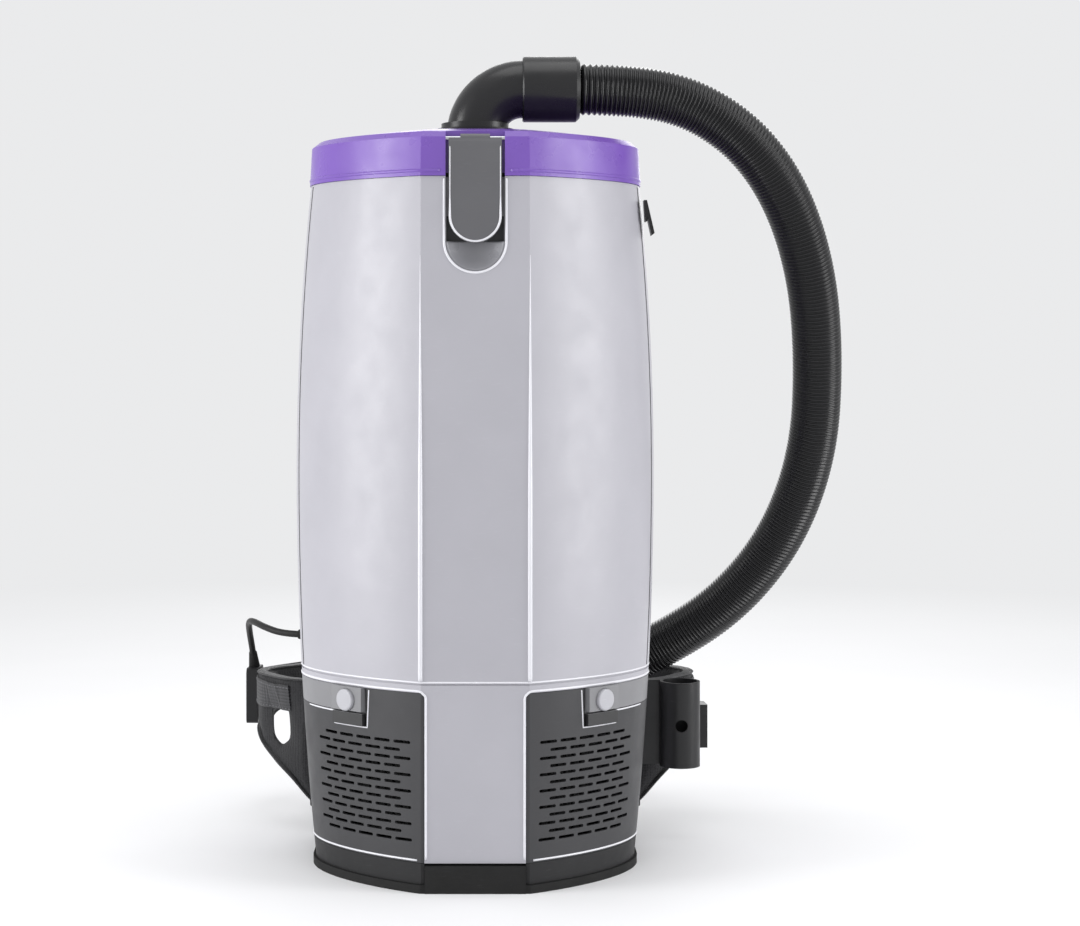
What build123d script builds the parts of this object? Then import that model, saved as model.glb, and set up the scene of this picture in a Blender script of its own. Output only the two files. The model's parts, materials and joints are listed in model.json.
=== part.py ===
from build123d import *
import math
import os

# Backpack vacuum cleaner.  Millimetres, +Z up, the outward face looks along -Y and the wearer
# stands on the +Y side.  The origin is on the floor, under the middle of the casing.

# ------------------------------------------------------------------ driving dimensions
WALL = 3.0                # moulded casing wall
GAP = 0.4                 # clearance between a moving cover and the casing
BODY_HALF = 153.5         # widest half width of the casing
BODY_FRONT = 112.0        # depth of the front facet at its deepest
BODY_REAR = 105.0         # flat rear face, where the backplate sits
REAR_HALF = 112.0         # half width of the flat rear face
FACET_HALF = 44.0         # half width of the front facet
WIDEST_Z = 335.0          # height at which the casing is widest
BASE_TOP = 24.0           # top of the base pan
SEAM_Z = 162.0            # lower edge of the light casing beside the tongue
GROOVE_Z = 168.0          # shadow groove round the casing above the seam
SHELL_TOP = 579.0         # top of the casing, where the lid closes
LID_SIDE_TOP = 611.0      # top of the lid's side wall
LID_TOP = 622.0           # flat seat round the inlet port
PART_Y = -8.0             # parting plane between front and rear casing shells
TONGUE_HALF = 41.0        # half width of the casing tongue between the grilles
GRILLE_REAR_Y = 45.0      # the grilles wrap back to here
DECK_Z = 205.0            # underside of the bulkhead under the bag chamber

HOSE_OD = 44.0            # over the ribs
HOSE_BORE = 38.0
ELBOW_OD = 49.0
ELBOW_BORE = 42.0
ELBOW_RADIUS = 40.0
ELBOW_AXIS_Z = 662.0      # height of the hose where it leaves the elbow
COUPLING_OD = 56.0
HOSE_EXIT_X = 90.0
CABLE_D = 6.0

os.makedirs("parts", exist_ok=True)


def save(piece, name):
    """Label a finished piece and write it as its own STEP file."""
    piece.label = name
    export_step(piece, f"parts/{name}.step")


# ------------------------------------------------------------------ casing outline
def half_width(z):
    """Half width of the barrel-shaped casing at a height."""
    drop, span = (17.5, WIDEST_Z) if z < WIDEST_Z else (12.5, SHELL_TOP - WIDEST_Z)
    return BODY_HALF - drop * ((z - WIDEST_Z) / span) ** 2


def front_depth(z):
    """Distance of the front facet from the middle plane at a height."""
    drop, span = (6.0, WIDEST_Z) if z < WIDEST_Z else (6.0, SHELL_TOP - WIDEST_Z)
    return BODY_FRONT - drop * ((z - WIDEST_Z) / span) ** 2


def outline(z, inset=0.0, grow=1.0, at=None):
    """Plan section of the casing at height z, pulled in by inset, scaled by grow, drawn at height at."""
    w = (half_width(z) - inset) * grow
    f = (front_depth(z) - inset) * grow
    r = (BODY_REAR - inset) * grow
    c = (FACET_HALF - 0.27 * inset) * grow
    q = (REAR_HALF - 0.3 * inset) * grow
    with BuildSketch(Plane.XY.offset(z if at is None else at)) as sketch:
        with BuildLine():
            Line((0, -f), (c, -f))
            Bezier((c, -f), (c + 0.32 * w, -f + 0.22 * f), (w, -0.36 * f), (w, 10))
            Bezier((w, 10), (w, 0.62 * r), (q + 0.2 * w, r), (q, r))
            Line((q, r), (0, r))
            mirror(about=Plane.YZ)
        make_face()
    return sketch.sketch


def barrel(levels, inset=0.0):
    """Solid casing volume lofted through the plan sections."""
    with BuildPart() as body:
        for z in levels:
            add(outline(z, inset))
        loft()
    return body.part


def plan_plug(low, high, inset):
    """Straight or slightly tapered slab that fits inside the casing."""
    with BuildPart() as body:
        add(outline(low, inset))
        add(outline(high, inset))
        loft(ruled=True)
    return body.part


LEVELS = [0, 90, 180, 260, 335, 400, 460, 520, SHELL_TOP]
outer_volume = barrel(LEVELS)
inner_volume = barrel(LEVELS, WALL)

with BuildPart() as casing_wall:
    add(outer_volume)
    add(inner_volume, mode=Mode.SUBTRACT)
    with BuildSketch(Plane.XY.offset(GROOVE_Z)):
        add(outline(GROOVE_Z, -4.0, at=0))
        add(outline(GROOVE_Z, 0.9, at=0), mode=Mode.SUBTRACT)
    extrude(amount=1.4, mode=Mode.SUBTRACT)

# ------------------------------------------------------------------ flank frames for the grille fittings
FLANK_X = 106.0           # where the release button sits, seen from the front
FLANK_NORMAL = Vector(0.66, -0.751, 0).normalized()
BUTTON_Z = 151.0
BUTTON_R = 9.0
NOTCH_HALF = 18.0         # half width of the notch in the top of a grille
NOTCH_FLOOR_Z = 130.0
FLANK_POINT = Vector(FLANK_X, -72.5, 0)


def flank_plane(z, depth=0.0):
    """Plane on the right flank, facing outwards, local x along the wall and local y up."""
    along = Vector(FLANK_NORMAL.Y, -FLANK_NORMAL.X, 0) * -1
    origin = FLANK_POINT + FLANK_NORMAL * depth + Vector(0, 0, z)
    return Plane(origin=origin, x_dir=along, z_dir=FLANK_NORMAL)


# ------------------------------------------------------------------ front and rear casing shells
LATCH_HALF = 24.0         # half width of the latch recess
RECESS_LOW_Z = 502.0
RECESS_Y = -97.0          # floor of the front latch recess
REAR_RECESS_Y = 96.0

with BuildPart() as recess_boss:
    with BuildSketch(Plane.XZ.offset(-RECESS_Y - 4)):
        with Locations((0, (RECESS_LOW_Z - 4 + SHELL_TOP) / 2)):
            Rectangle(2 * LATCH_HALF + 8, SHELL_TOP - RECESS_LOW_Z + 4)
    extrude(amount=30)
    add(outer_volume, mode=Mode.INTERSECT)

with BuildPart() as front_shell:
    add(casing_wall.part)
    with BuildSketch(Plane.XZ.offset(-PART_Y)):
        with Locations((0, (SEAM_Z + SHELL_TOP) / 2)):
            Rectangle(400, SHELL_TOP - SEAM_Z)
        with Locations((0, (BASE_TOP + SEAM_Z) / 2)):
            Rectangle(2 * TONGUE_HALF, SEAM_Z - BASE_TOP)
    extrude(amount=200, mode=Mode.INTERSECT)
    # inward flange that carries the lid gasket
    with BuildSketch(Plane.XY.offset(SHELL_TOP - 4)):
        add(outline(SHELL_TOP, 1.0, at=0))
        add(outline(SHELL_TOP, 13.0, at=0), mode=Mode.SUBTRACT)
        with Locations((0, 100 + PART_Y)):
            Rectangle(400, 200, mode=Mode.SUBTRACT)
    extrude(amount=4)
    # boss behind the latch recess, then the recess itself
    add(recess_boss.part)
    with BuildSketch(Plane.XZ.offset(-RECESS_Y)):
        with BuildLine():
            Line((-LATCH_HALF, RECESS_LOW_Z + LATCH_HALF), (-LATCH_HALF, SHELL_TOP + 1))
            Line((-LATCH_HALF, SHELL_TOP + 1), (LATCH_HALF, SHELL_TOP + 1))
            Line((LATCH_HALF, SHELL_TOP + 1), (LATCH_HALF, RECESS_LOW_Z + LATCH_HALF))
            ThreePointArc(
                (LATCH_HALF, RECESS_LOW_Z + LATCH_HALF),
                (0, RECESS_LOW_Z),
                (-LATCH_HALF, RECESS_LOW_Z + LATCH_HALF),
            )
        make_face()
    extrude(amount=40, mode=Mode.SUBTRACT)
    # keeper ledge for the latch hook
    with BuildSketch(Plane.YZ.offset(-8)):
        Polygon(
            (RECESS_Y, 556), (RECESS_Y - 3, 556), (RECESS_Y - 3, 552), (RECESS_Y, 548),
            align=None,
        )
    extrude(amount=16)

with BuildPart() as rear_shell:
    add(casing_wall.part)
    with BuildSketch(Plane.XZ.offset(-PART_Y)):
        with Locations((0, (SEAM_Z + SHELL_TOP) / 2)):
            Rectangle(400, SHELL_TOP - SEAM_Z)
    extrude(amount=-200, mode=Mode.INTERSECT)
    with BuildSketch(Plane.XY.offset(SHELL_TOP - 4)):
        add(outline(SHELL_TOP, 1.0, at=0))
        add(outline(SHELL_TOP, 13.0, at=0), mode=Mode.SUBTRACT)
        with Locations((0, PART_Y - 100)):
            Rectangle(400, 200, mode=Mode.SUBTRACT)
    extrude(amount=4)
    with BuildSketch(Plane.XZ.offset(-REAR_RECESS_Y + 4)):
        with Locations((0, (RECESS_LOW_Z + 26 + SHELL_TOP) / 2)):
            Rectangle(2 * LATCH_HALF + 8, SHELL_TOP - RECESS_LOW_Z - 26)
    extrude(amount=-12)
    with BuildSketch(Plane.XZ.offset(-REAR_RECESS_Y)):
        with Locations((0, (RECESS_LOW_Z + 30 + SHELL_TOP + 1) / 2)):
            Rectangle(2 * LATCH_HALF, SHELL_TOP + 1 - RECESS_LOW_Z - 30)
    extrude(amount=-40, mode=Mode.SUBTRACT)

with BuildPart() as lower_rear_shell:
    add(casing_wall.part)
    with BuildSketch(Plane.XZ.offset(-GRILLE_REAR_Y)):
        with Locations((0, (BASE_TOP + SEAM_Z) / 2)):
            Rectangle(400, SEAM_Z - BASE_TOP)
    extrude(amount=-200, mode=Mode.INTERSECT)

save(front_shell.part, "front_shell")
save(rear_shell.part, "rear_shell")
save(lower_rear_shell.part, "lower_rear_shell")

# ------------------------------------------------------------------ exhaust grilles, one each side
SLOT_ROWS = 13
SLOT_PITCH = 6.6
SLOT_H = 2.5
SLOT_L = 16.0
SLOT_STEP = 19.5          # from one slot to the next along a row
SLOT_LOW_Z = 42.0
BAND_Z = 141.0            # lower edge of the grey band beside the release button

with BuildPart() as grille_right:
    add(casing_wall.part)
    with BuildSketch(Plane.XZ.offset(-GRILLE_REAR_Y + GAP)):
        with Locations(((TONGUE_HALF + GAP + 200) / 2, (BASE_TOP + SEAM_Z) / 2)):
            Rectangle(200 - TONGUE_HALF - GAP, SEAM_Z - BASE_TOP - 2 * GAP)
    extrude(amount=200, mode=Mode.INTERSECT)
    # notch round the button, and the lower edge under the grey band beyond it
    with BuildSketch(flank_plane(0, 60)):
        with Locations((0, (NOTCH_FLOOR_Z + SEAM_Z + 4) / 2)):
            Rectangle(2 * NOTCH_HALF, SEAM_Z + 4 - NOTCH_FLOOR_Z)
        with Locations((NOTCH_HALF + 74, (BAND_Z - GAP + SEAM_Z + 4) / 2)):
            Rectangle(150, SEAM_Z + 4 - BAND_Z + GAP)
    extrude(amount=-160, mode=Mode.SUBTRACT)
    # exhaust slots in staggered rows, all cut along the flank's normal
    with BuildSketch(flank_plane(0, 40)):
        for row in range(SLOT_ROWS):
            z = SLOT_LOW_Z + row * SLOT_PITCH
            shift = SLOT_STEP / 4 if row % 2 else -SLOT_STEP / 4
            with Locations(*[(shift + SLOT_STEP * (column - 2.5), z) for column in range(5)]):
                SlotOverall(SLOT_L, SLOT_H)
    extrude(amount=-80, mode=Mode.SUBTRACT)
with BuildPart() as grille_left:
    mirror(grille_right.part, about=Plane.YZ)
save(grille_right.part, "grille_right")
save(grille_left.part, "grille_left")

# release button with its housing, and the catch under it
with BuildPart() as button_right:
    with BuildSketch(flank_plane(BUTTON_Z, -6)):
        Circle(BUTTON_R)
    extrude(amount=9.5)
    fillet(button_right.faces().sort_by(Axis(FLANK_POINT, FLANK_NORMAL))[-1].edges(), 1.5)
with BuildPart() as button_left:
    mirror(button_right.part, about=Plane.YZ)
save(button_right.part, "button_right")
save(button_left.part, "button_left")

with BuildPart() as band_right:
    add(casing_wall.part)
    with BuildSketch(Plane.XZ.offset(-GRILLE_REAR_Y + GAP)):
        with Locations((100 + TONGUE_HALF, (BAND_Z + SEAM_Z - GAP) / 2)):
            Rectangle(200, SEAM_Z - BAND_Z - GAP)
    extrude(amount=200, mode=Mode.INTERSECT)
    with BuildSketch(flank_plane(0, 60)):
        with Locations((NOTCH_HALF + 74, 150)):
            Rectangle(150, 60)
    extrude(amount=-160, mode=Mode.INTERSECT)
with BuildPart() as catch_right:
    add(band_right.part)
    with BuildSketch(flank_plane(0, -8)):
        with Locations((0, (142 + SEAM_Z) / 2)):
            Rectangle(2 * NOTCH_HALF - 2, SEAM_Z - 142 - GAP)
    extrude(amount=8.5)
    with BuildSketch(flank_plane(0, -10)):
        with Locations((0, (NOTCH_FLOOR_Z + SEAM_Z) / 2)):
            Rectangle(2 * NOTCH_HALF - 1, SEAM_Z - NOTCH_FLOOR_Z - 2)
        with Locations((8, (BAND_Z + SEAM_Z) / 2)):
            Rectangle(34, SEAM_Z - BAND_Z - 2)
    extrude(amount=2.6)
    with BuildSketch(flank_plane(0, -9)):
        with Locations((0, (NOTCH_FLOOR_Z + 141) / 2)):
            Rectangle(2 * NOTCH_HALF - 2, 141 - NOTCH_FLOOR_Z - 1)
    extrude(amount=8)
    with BuildSketch(flank_plane(BUTTON_Z, -20)):
        Circle(BUTTON_R + 0.3)
    extrude(amount=40, mode=Mode.SUBTRACT)
with BuildPart() as catch_left:
    mirror(catch_right.part, about=Plane.YZ)
save(catch_right.part, "grille_catch_right")
save(catch_left.part, "grille_catch_left")

# ------------------------------------------------------------------ base pan, bumper and feet
with BuildPart() as base_pan:
    add(outline(0))
    add(outline(BASE_TOP))
    loft(ruled=True)
    with BuildSketch(Plane.XY.offset(4)):
        add(outline(0, WALL + 3))
    extrude(amount=40, mode=Mode.SUBTRACT)
    # socket for the motor's lower mount
    with BuildSketch(Plane.XY.offset(4)):
        Circle(24)
        Circle(19, mode=Mode.SUBTRACT)
    extrude(amount=20)
    # front notch that holds the rubber nose
    with BuildSketch(Plane.XZ.offset(BODY_FRONT - 10)):
        with Locations((0, BASE_TOP / 2)):
            Rectangle(2 * TONGUE_HALF, BASE_TOP)
    extrude(amount=20, mode=Mode.SUBTRACT)
    # rebate round the foot for the bumper ring
    with BuildSketch():
        add(outline(0, -10))
        add(outline(0, 1.8), mode=Mode.SUBTRACT)
    extrude(amount=7, mode=Mode.SUBTRACT)
    with Locations(Plane.XY):
        with GridLocations(150, 110, 2, 2):
            CounterBoreHole(2.2, 4.5, 2, depth=5)
        with GridLocations(110, 70, 2, 2):
            Cylinder(9, 2.5, align=(Align.CENTER, Align.CENTER, Align.MIN), mode=Mode.SUBTRACT)
save(base_pan.part, "base_pan")

with BuildPart() as bumper:
    with BuildSketch():
        add(outline(0, -3.0))
        add(outline(0, 1.7), mode=Mode.SUBTRACT)
    extrude(amount=6.8)
    with BuildSketch(Plane.XZ.offset(BODY_FRONT - 9.7)):
        with Locations((0, 11)):
            Rectangle(2 * TONGUE_HALF - 0.4, 22)
    extrude(amount=7.5)
save(bumper.part, "base_bumper")

with BuildPart() as feet:
    with GridLocations(110, 70, 2, 2):
        Cylinder(8.8, 2.5, align=(Align.CENTER, Align.CENTER, Align.MIN))
save(feet.part, "foot_pads")

with BuildPart() as base_screws:
    with Locations((0, 0, 0.4)):
        with GridLocations(150, 110, 2, 2):
            Cylinder(4.2, 1.4, align=(Align.CENTER, Align.CENTER, Align.MIN))
            Cylinder(2.1, 12, align=(Align.CENTER, Align.CENTER, Align.MIN))
save(base_screws.part, "base_screws")

# ------------------------------------------------------------------ bag chamber
with BuildPart() as motor_deck:
    add(plan_plug(DECK_Z, DECK_Z + 6, WALL + 0.8))
    Cylinder(36, 600, mode=Mode.SUBTRACT)
save(motor_deck.part, "motor_deck")

with BuildPart() as bag_frame:
    add(plan_plug(560, 566, WALL + 6.0))
    with BuildSketch(Plane.XY.offset(550)):
        RectangleRounded(170, 110, 40)
        with Locations((0, -(10 - RECESS_Y - 5)), (0, 10 + REAR_RECESS_Y - 5)):
            Rectangle(2 * LATCH_HALF + 10, 20)
    extrude(amount=40, mode=Mode.SUBTRACT)
save(bag_frame.part, "bag_frame")

with BuildPart() as filter_bag:
    for z, w, d in ((225, 150, 110), (260, 220, 150), (400, 240, 160), (530, 210, 145), (559, 168, 108)):
        with BuildSketch(Plane.XY.offset(z)):
            RectangleRounded(w, d, 0.35 * d)
    loft()
    for z, w, d in ((229, 144, 104), (262, 214, 144), (400, 234, 154), (530, 204, 139), (559, 162, 102)):
        with BuildSketch(Plane.XY.offset(z)):
            RectangleRounded(w, d, 0.35 * d)
    loft(mode=Mode.SUBTRACT)
save(filter_bag.part, "filter_bag")

with BuildPart() as bag_collar:
    with BuildSketch(Plane.XY.offset(566.3)):
        RectangleRounded(190, 130, 48)
        Circle(27, mode=Mode.SUBTRACT)
    extrude(amount=3)
save(bag_collar.part, "bag_collar")

# ------------------------------------------------------------------ motor and fan under the deck
FAN_TOP = DECK_Z - 0.2
with BuildPart() as fan_shroud:
    with BuildSketch(Plane.XZ):
        Polygon(
            (34, FAN_TOP), (70, FAN_TOP), (70, 150), (20, 150), (20, 153), (67, 153), (67, FAN_TOP - 3),
            (34, FAN_TOP - 3), align=None,
        )
    revolve(axis=Axis.Z)
    with PolarLocations(60, 12):
        with Locations((0, 0, 150)):
            Cylinder(4, 10, mode=Mode.SUBTRACT)
save(fan_shroud.part, "fan_shroud")

with BuildPart() as motor_can:
    with BuildSketch(Plane.XZ):
        Polygon((45, 64), (48, 64), (48, 149.8), (45, 149.8), align=None)
        Polygon((11.4, 146), (45, 146), (45, 149.8), (11.4, 149.8), align=None)
        Polygon((11.4, 64), (45, 64), (45, 68), (11.4, 68), align=None)
    revolve(axis=Axis.Z)
    with PolarLocations(30, 6):
        with Locations((0, 0, 66)):
            Cylinder(6, 8, mode=Mode.SUBTRACT)
save(motor_can.part, "motor_can")

with BuildPart() as stator:
    with BuildSketch(Plane.XY.offset(85)):
        Circle(44.7)
        Circle(27.5, mode=Mode.SUBTRACT)
        with PolarLocations(36, 2):
            RectangleRounded(9, 30, 3, mode=Mode.SUBTRACT)
    extrude(amount=45)
save(stator.part, "stator_core")

with BuildPart() as bearings:
    for z in (64.5, 146.2):
        with BuildSketch(Plane.XY.offset(z)):
            Circle(11.2)
            Circle(4.1, mode=Mode.SUBTRACT)
        extrude(amount=3.2)
save(bearings.part, "motor_bearings")

with BuildPart() as motor_shaft:
    with Locations((0, 0, 58)):
        Cylinder(4, 132, align=(Align.CENTER, Align.CENTER, Align.MIN))
    with Locations((0, 0, 71)):
        Cylinder(12, 10, align=(Align.CENTER, Align.CENTER, Align.MIN))
save(motor_shaft.part, "motor_shaft")

with BuildPart() as rotor_core:
    with BuildSketch(Plane.XY.offset(86)):
        Circle(26.8)
        Circle(4, mode=Mode.SUBTRACT)
        with PolarLocations(25, 18):
            Rectangle(5, 1.6, mode=Mode.SUBTRACT)
    extrude(amount=43)
save(rotor_core.part, "rotor_core")

with BuildPart() as impeller:
    with BuildSketch(Plane.XY.offset(158)):
        Circle(62)
        Circle(4, mode=Mode.SUBTRACT)
    extrude(amount=2)
    with BuildSketch(Plane.XY.offset(160)):
        Circle(12)
        Circle(4, mode=Mode.SUBTRACT)
    extrude(amount=22)
    with BuildSketch(Plane.XY.offset(159.5)):
        with PolarLocations(38, 9):
            with Locations(Location((0, 0, 0), (0, 0, 28))):
                Rectangle(40, 1.6)
    extrude(amount=20)
    with BuildSketch(Plane.XY.offset(179)):
        Circle(62)
        Circle(33, mode=Mode.SUBTRACT)
    extrude(amount=2)
save(impeller.part, "impeller")

with BuildPart() as lower_mount:
    with BuildSketch(Plane.XZ):
        Polygon((9, 5), (18.7, 5), (18.7, 45), (30, 58), (30, 63.8), (9, 63.8), align=None)
    revolve(axis=Axis.Z)
save(lower_mount.part, "motor_mount")

FILTER_DISTANCE = 79.0
with BuildPart() as exhaust_filters:
    origin = Vector(FLANK_NORMAL.X, FLANK_NORMAL.Y, 0) * FILTER_DISTANCE
    plane = Plane(origin=origin + Vector(0, 0, 82), x_dir=flank_plane(0).x_dir, z_dir=FLANK_NORMAL)
    with BuildSketch(plane):
        Rectangle(92, 92)
    extrude(amount=13)
    with BuildSketch(plane.offset(13)):
        with GridLocations(9, 1, 9, 1):
            Rectangle(3, 84)
    extrude(amount=-4, mode=Mode.SUBTRACT)
    mirror(about=Plane.YZ)
save(exhaust_filters.part, "exhaust_filters")

# ------------------------------------------------------------------ lid with its inlet port
LID_GAP = 0.3

with BuildPart() as lid:
    add(outline(SHELL_TOP, -1.0, at=SHELL_TOP + LID_GAP))
    add(outline(SHELL_TOP, 0.7, at=LID_SIDE_TOP))
    add(outline(SHELL_TOP, 7.0, at=LID_SIDE_TOP + 5))
    add(outline(SHELL_TOP, 7.0, grow=0.7, at=LID_TOP - 1))
    add(outline(SHELL_TOP, 7.0, grow=0.45, at=LID_TOP))
    loft(ruled=True)
    # hollow underside, leaving a rib that presses on the gasket
    add(outline(SHELL_TOP, 3.0, at=SHELL_TOP))
    add(outline(SHELL_TOP, 4.5, at=LID_SIDE_TOP - 2))
    loft(ruled=True, mode=Mode.SUBTRACT)
    with BuildSketch(Plane.XY.offset(582.2)):
        add(outline(SHELL_TOP, 6.5, at=0))
        add(outline(SHELL_TOP, 9.5, at=0), mode=Mode.SUBTRACT)
    extrude(amount=LID_SIDE_TOP - 582.2)
    # boss round the inlet
    with BuildSketch(Plane.XY.offset(604)):
        Circle(36)
    extrude(amount=LID_TOP - 604)
    # latch recesses, front and rear
    for side, y in ((-1, RECESS_Y), (1, REAR_RECESS_Y)):
        with BuildSketch(Plane.XZ.offset(-(y - side * 3))):
            with Locations((0, 596.5)):
                Rectangle(2 * LATCH_HALF + 6, 29)
        extrude(amount=-side * 10.5)
        with BuildSketch(Plane.XZ.offset(-y)):
            with Locations((0, 600)):
                Rectangle(2 * LATCH_HALF, 60)
        extrude(amount=-side * 40, mode=Mode.SUBTRACT)
    with BuildSketch(Plane.XY.offset(500)):
        Circle(30)
    extrude(amount=200, mode=Mode.SUBTRACT)
save(lid.part, "lid")

with BuildPart() as lid_gasket:
    with BuildSketch(Plane.XY.offset(SHELL_TOP)):
        add(outline(SHELL_TOP, 5.8, at=0))
        add(outline(SHELL_TOP, 10.2, at=0), mode=Mode.SUBTRACT)
    extrude(amount=3)
    with BuildSketch(Plane.XY.offset(570)):
        with Locations((0, -107), (0, 106)):
            Rectangle(60, 18)
    extrude(amount=20, mode=Mode.SUBTRACT)
save(lid_gasket.part, "lid_gasket")

# inlet port: a flanged bush pressed in the lid, in which the elbow's spigot turns
with BuildPart() as inlet_port:
    with BuildSketch(Plane.XZ):
        Polygon(
            (24.6, 572), (29.7, 572), (29.7, LID_TOP), (35, LID_TOP), (35, LID_TOP + 5), (25.4, LID_TOP + 5),
            (24.6, LID_TOP - 1),
            align=None,
        )
    revolve(axis=Axis.Z)
save(inlet_port.part, "inlet_port")

# ------------------------------------------------------------------ elbow that turns in the inlet port
SPIGOT_R = ELBOW_OD / 2
COLLAR_Z = LID_TOP + 5.2
with BuildPart() as elbow:
    with BuildLine() as elbow_line:
        FilletPolyline((0, 0, 575), (0, 0, ELBOW_AXIS_Z), (64, 0, ELBOW_AXIS_Z), radius=ELBOW_RADIUS)
    with BuildSketch(Plane.XY.offset(575)):
        Circle(SPIGOT_R)
        Circle(ELBOW_BORE / 2, mode=Mode.SUBTRACT)
    sweep()
    with BuildSketch(Plane.XY.offset(COLLAR_Z)):
        Circle(29)
        Circle(ELBOW_BORE / 2 + 1, mode=Mode.SUBTRACT)
    extrude(amount=5)
save(elbow.part, "hose_elbow")

COLLAR_END_X = HOSE_EXIT_X - 0.8
with BuildPart() as coupling:
    with BuildSketch(Plane.XZ):
        with BuildLine():
            Polyline(
                (40.3, 24.8), (40.3, 27), (41.5, COUPLING_OD / 2), (86, COUPLING_OD / 2), (COLLAR_END_X, 25),
                (COLLAR_END_X, 19.5), (64.5, 19.5), (64.5, 24.8), (40.3, 24.8),
            )
        make_face()
    revolve(axis=Axis.X)
coupling.part.position = (0, 0, ELBOW_AXIS_Z)
save(coupling.part, "hose_coupling")

# ------------------------------------------------------------------ hose, limp, hanging from the elbow
# Its route leaves the coupling along +X, arches down the right side, passes over the right hip
# pad and comes down behind the casing, where the cuff's tip rests on the floor.
HOSE_ROUTE = [
    (HOSE_EXIT_X, 0, ELBOW_AXIS_Z),
    (144, 1, 661.5),
    (196, 6, 647),
    (241, 16, 615),
    (275, 34, 567),
    (298, 59, 503),
    (308, 88, 428),
    (308, 118, 346),
    (285, 148, 268),
    (238, 174, 203),
    (172, 197, 157),
    (97, 215, 122),
    (20, 228, 88),
    (-52, 234, 56.2),
]


def bend_radii(route):
    """Largest tangent arc for each corner: 0.45 of the shorter run over the tangent of half the turn."""
    radii = []
    for before, corner, after in zip(route, route[1:], route[2:]):
        first = Vector(corner) - Vector(before)
        second = Vector(after) - Vector(corner)
        half_turn = math.radians(first.get_angle(second)) / 2
        radii.append(0.45 * min(first.length, second.length) / math.tan(half_turn))
    return radii


def cord_tube(route, outer, bore=0.0):
    """Tube along a route of straight runs joined by tangent arcs."""
    radii = bend_radii(route)
    start = Vector(route[0])
    with BuildPart() as tube:
        with BuildLine() as path:
            FilletPolyline(*route, radius=radii)
        with BuildSketch(Plane(origin=start, z_dir=Vector(route[1]) - start)):
            Circle(outer / 2)
            if bore:
                Circle(bore / 2, mode=Mode.SUBTRACT)
        sweep()
    area = math.pi / 4 * (outer**2 - bore**2)
    length = sum(edge.length for edge in path.edges())
    print("cord radii in diameters", [round(r / outer, 1) for r in radii])
    print("cord length", round(length), "volume ratio", round(tube.part.volume / (area * length), 4))
    return tube.part


hose_part = cord_tube(HOSE_ROUTE, HOSE_OD, HOSE_BORE)
save(hose_part, "hose")

CUFF_COLLAR_R = 26.0
CUFF_SPIGOT_R = 21.5
CUFF_BORE_R = 18.5
CUFF_LENGTH = 90.0
CUFF_COLLAR_L = 24.0
hose_end = Vector(HOSE_ROUTE[-1])
hose_end_dir = (hose_end - Vector(HOSE_ROUTE[-2])).normalized()
cone_end = CUFF_COLLAR_L + CUFF_COLLAR_R - CUFF_SPIGOT_R
with BuildPart() as cuff:
    with BuildSketch(Plane.XZ):
        Polygon(
            (CUFF_BORE_R, 0), (CUFF_COLLAR_R, 0), (CUFF_COLLAR_R, CUFF_COLLAR_L), (CUFF_SPIGOT_R, cone_end),
            (CUFF_SPIGOT_R, CUFF_LENGTH), (CUFF_BORE_R, CUFF_LENGTH),
            align=None,
        )
    revolve(axis=Axis.Z)
cuff_piece = Plane(origin=hose_end, x_dir=(0, 1, 0), z_dir=hose_end_dir).location * cuff.part
save(cuff_piece, "straight_cuff")
print("cuff box", cuff_piece.bounding_box())
print("cuff axis", hose_end_dir, "tip", hose_end + hose_end_dir * CUFF_LENGTH)

# ------------------------------------------------------------------ lid latches, front and rear
LEVER_HALF = 21.5
LATCH_AXIS_Z = 610.0
PIN_R = 1.6
KNUCKLE_R = 3.6
LATCH_AXIS_Y = RECESS_Y - 4.0
REAR_LATCH_AXIS_Y = REAR_RECESS_Y + 4.5
FRONT_LEVER = [   # distance out from the recess floor, height
    (2.6, 606), (4.3, 550), (1.6, 546), (1.6, 543), (4.6, 542), (7.3, 527), (10, 525), (12.5, 530), (12, 560),
    (10.5, 590), (8.6, 607), (7.4, 610), (4, 611),
]
REAR_LEVER = [
    (3, 606), (5.5, 550), (6, 540), (8, 538), (11, 540), (10.5, 560), (9.5, 590), (8.5, 606), (7.9, 610),
    (4.5, 611),
]


def latch_lever(profile, side, floor_y, axis_y, low_z):
    """Over-centre lever seen in side view, with its hinge knuckle and a rounded lower end."""
    with BuildPart() as lever:
        with BuildSketch(Plane.YZ.offset(-LEVER_HALF)):
            Polygon(*[(floor_y + side * out, z) for out, z in profile], align=None)
        extrude(amount=2 * LEVER_HALF)
        with BuildSketch(Plane.YZ.offset(-12)):
            with Locations((axis_y, LATCH_AXIS_Z)):
                Circle(KNUCKLE_R)
        extrude(amount=24)
        with BuildSketch(Plane.XZ.offset(200)):
            with BuildLine():
                ThreePointArc((-LEVER_HALF, low_z + 25), (0, low_z), (LEVER_HALF, low_z + 25))
                Polyline(
                    (LEVER_HALF, low_z + 25), (LEVER_HALF, 640), (-LEVER_HALF, 640), (-LEVER_HALF, low_z + 25)
                )
            make_face()
        extrude(amount=-400, mode=Mode.INTERSECT)
        with BuildSketch(Plane.YZ.offset(-30)):
            with Locations((axis_y, LATCH_AXIS_Z)):
                Circle(PIN_R + 0.1)
        extrude(amount=60, mode=Mode.SUBTRACT)
    return lever.part


save(latch_lever(FRONT_LEVER, -1, RECESS_Y, LATCH_AXIS_Y, 525), "front_latch")
save(latch_lever(REAR_LEVER, 1, REAR_RECESS_Y, REAR_LATCH_AXIS_Y, 538), "rear_latch")

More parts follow.
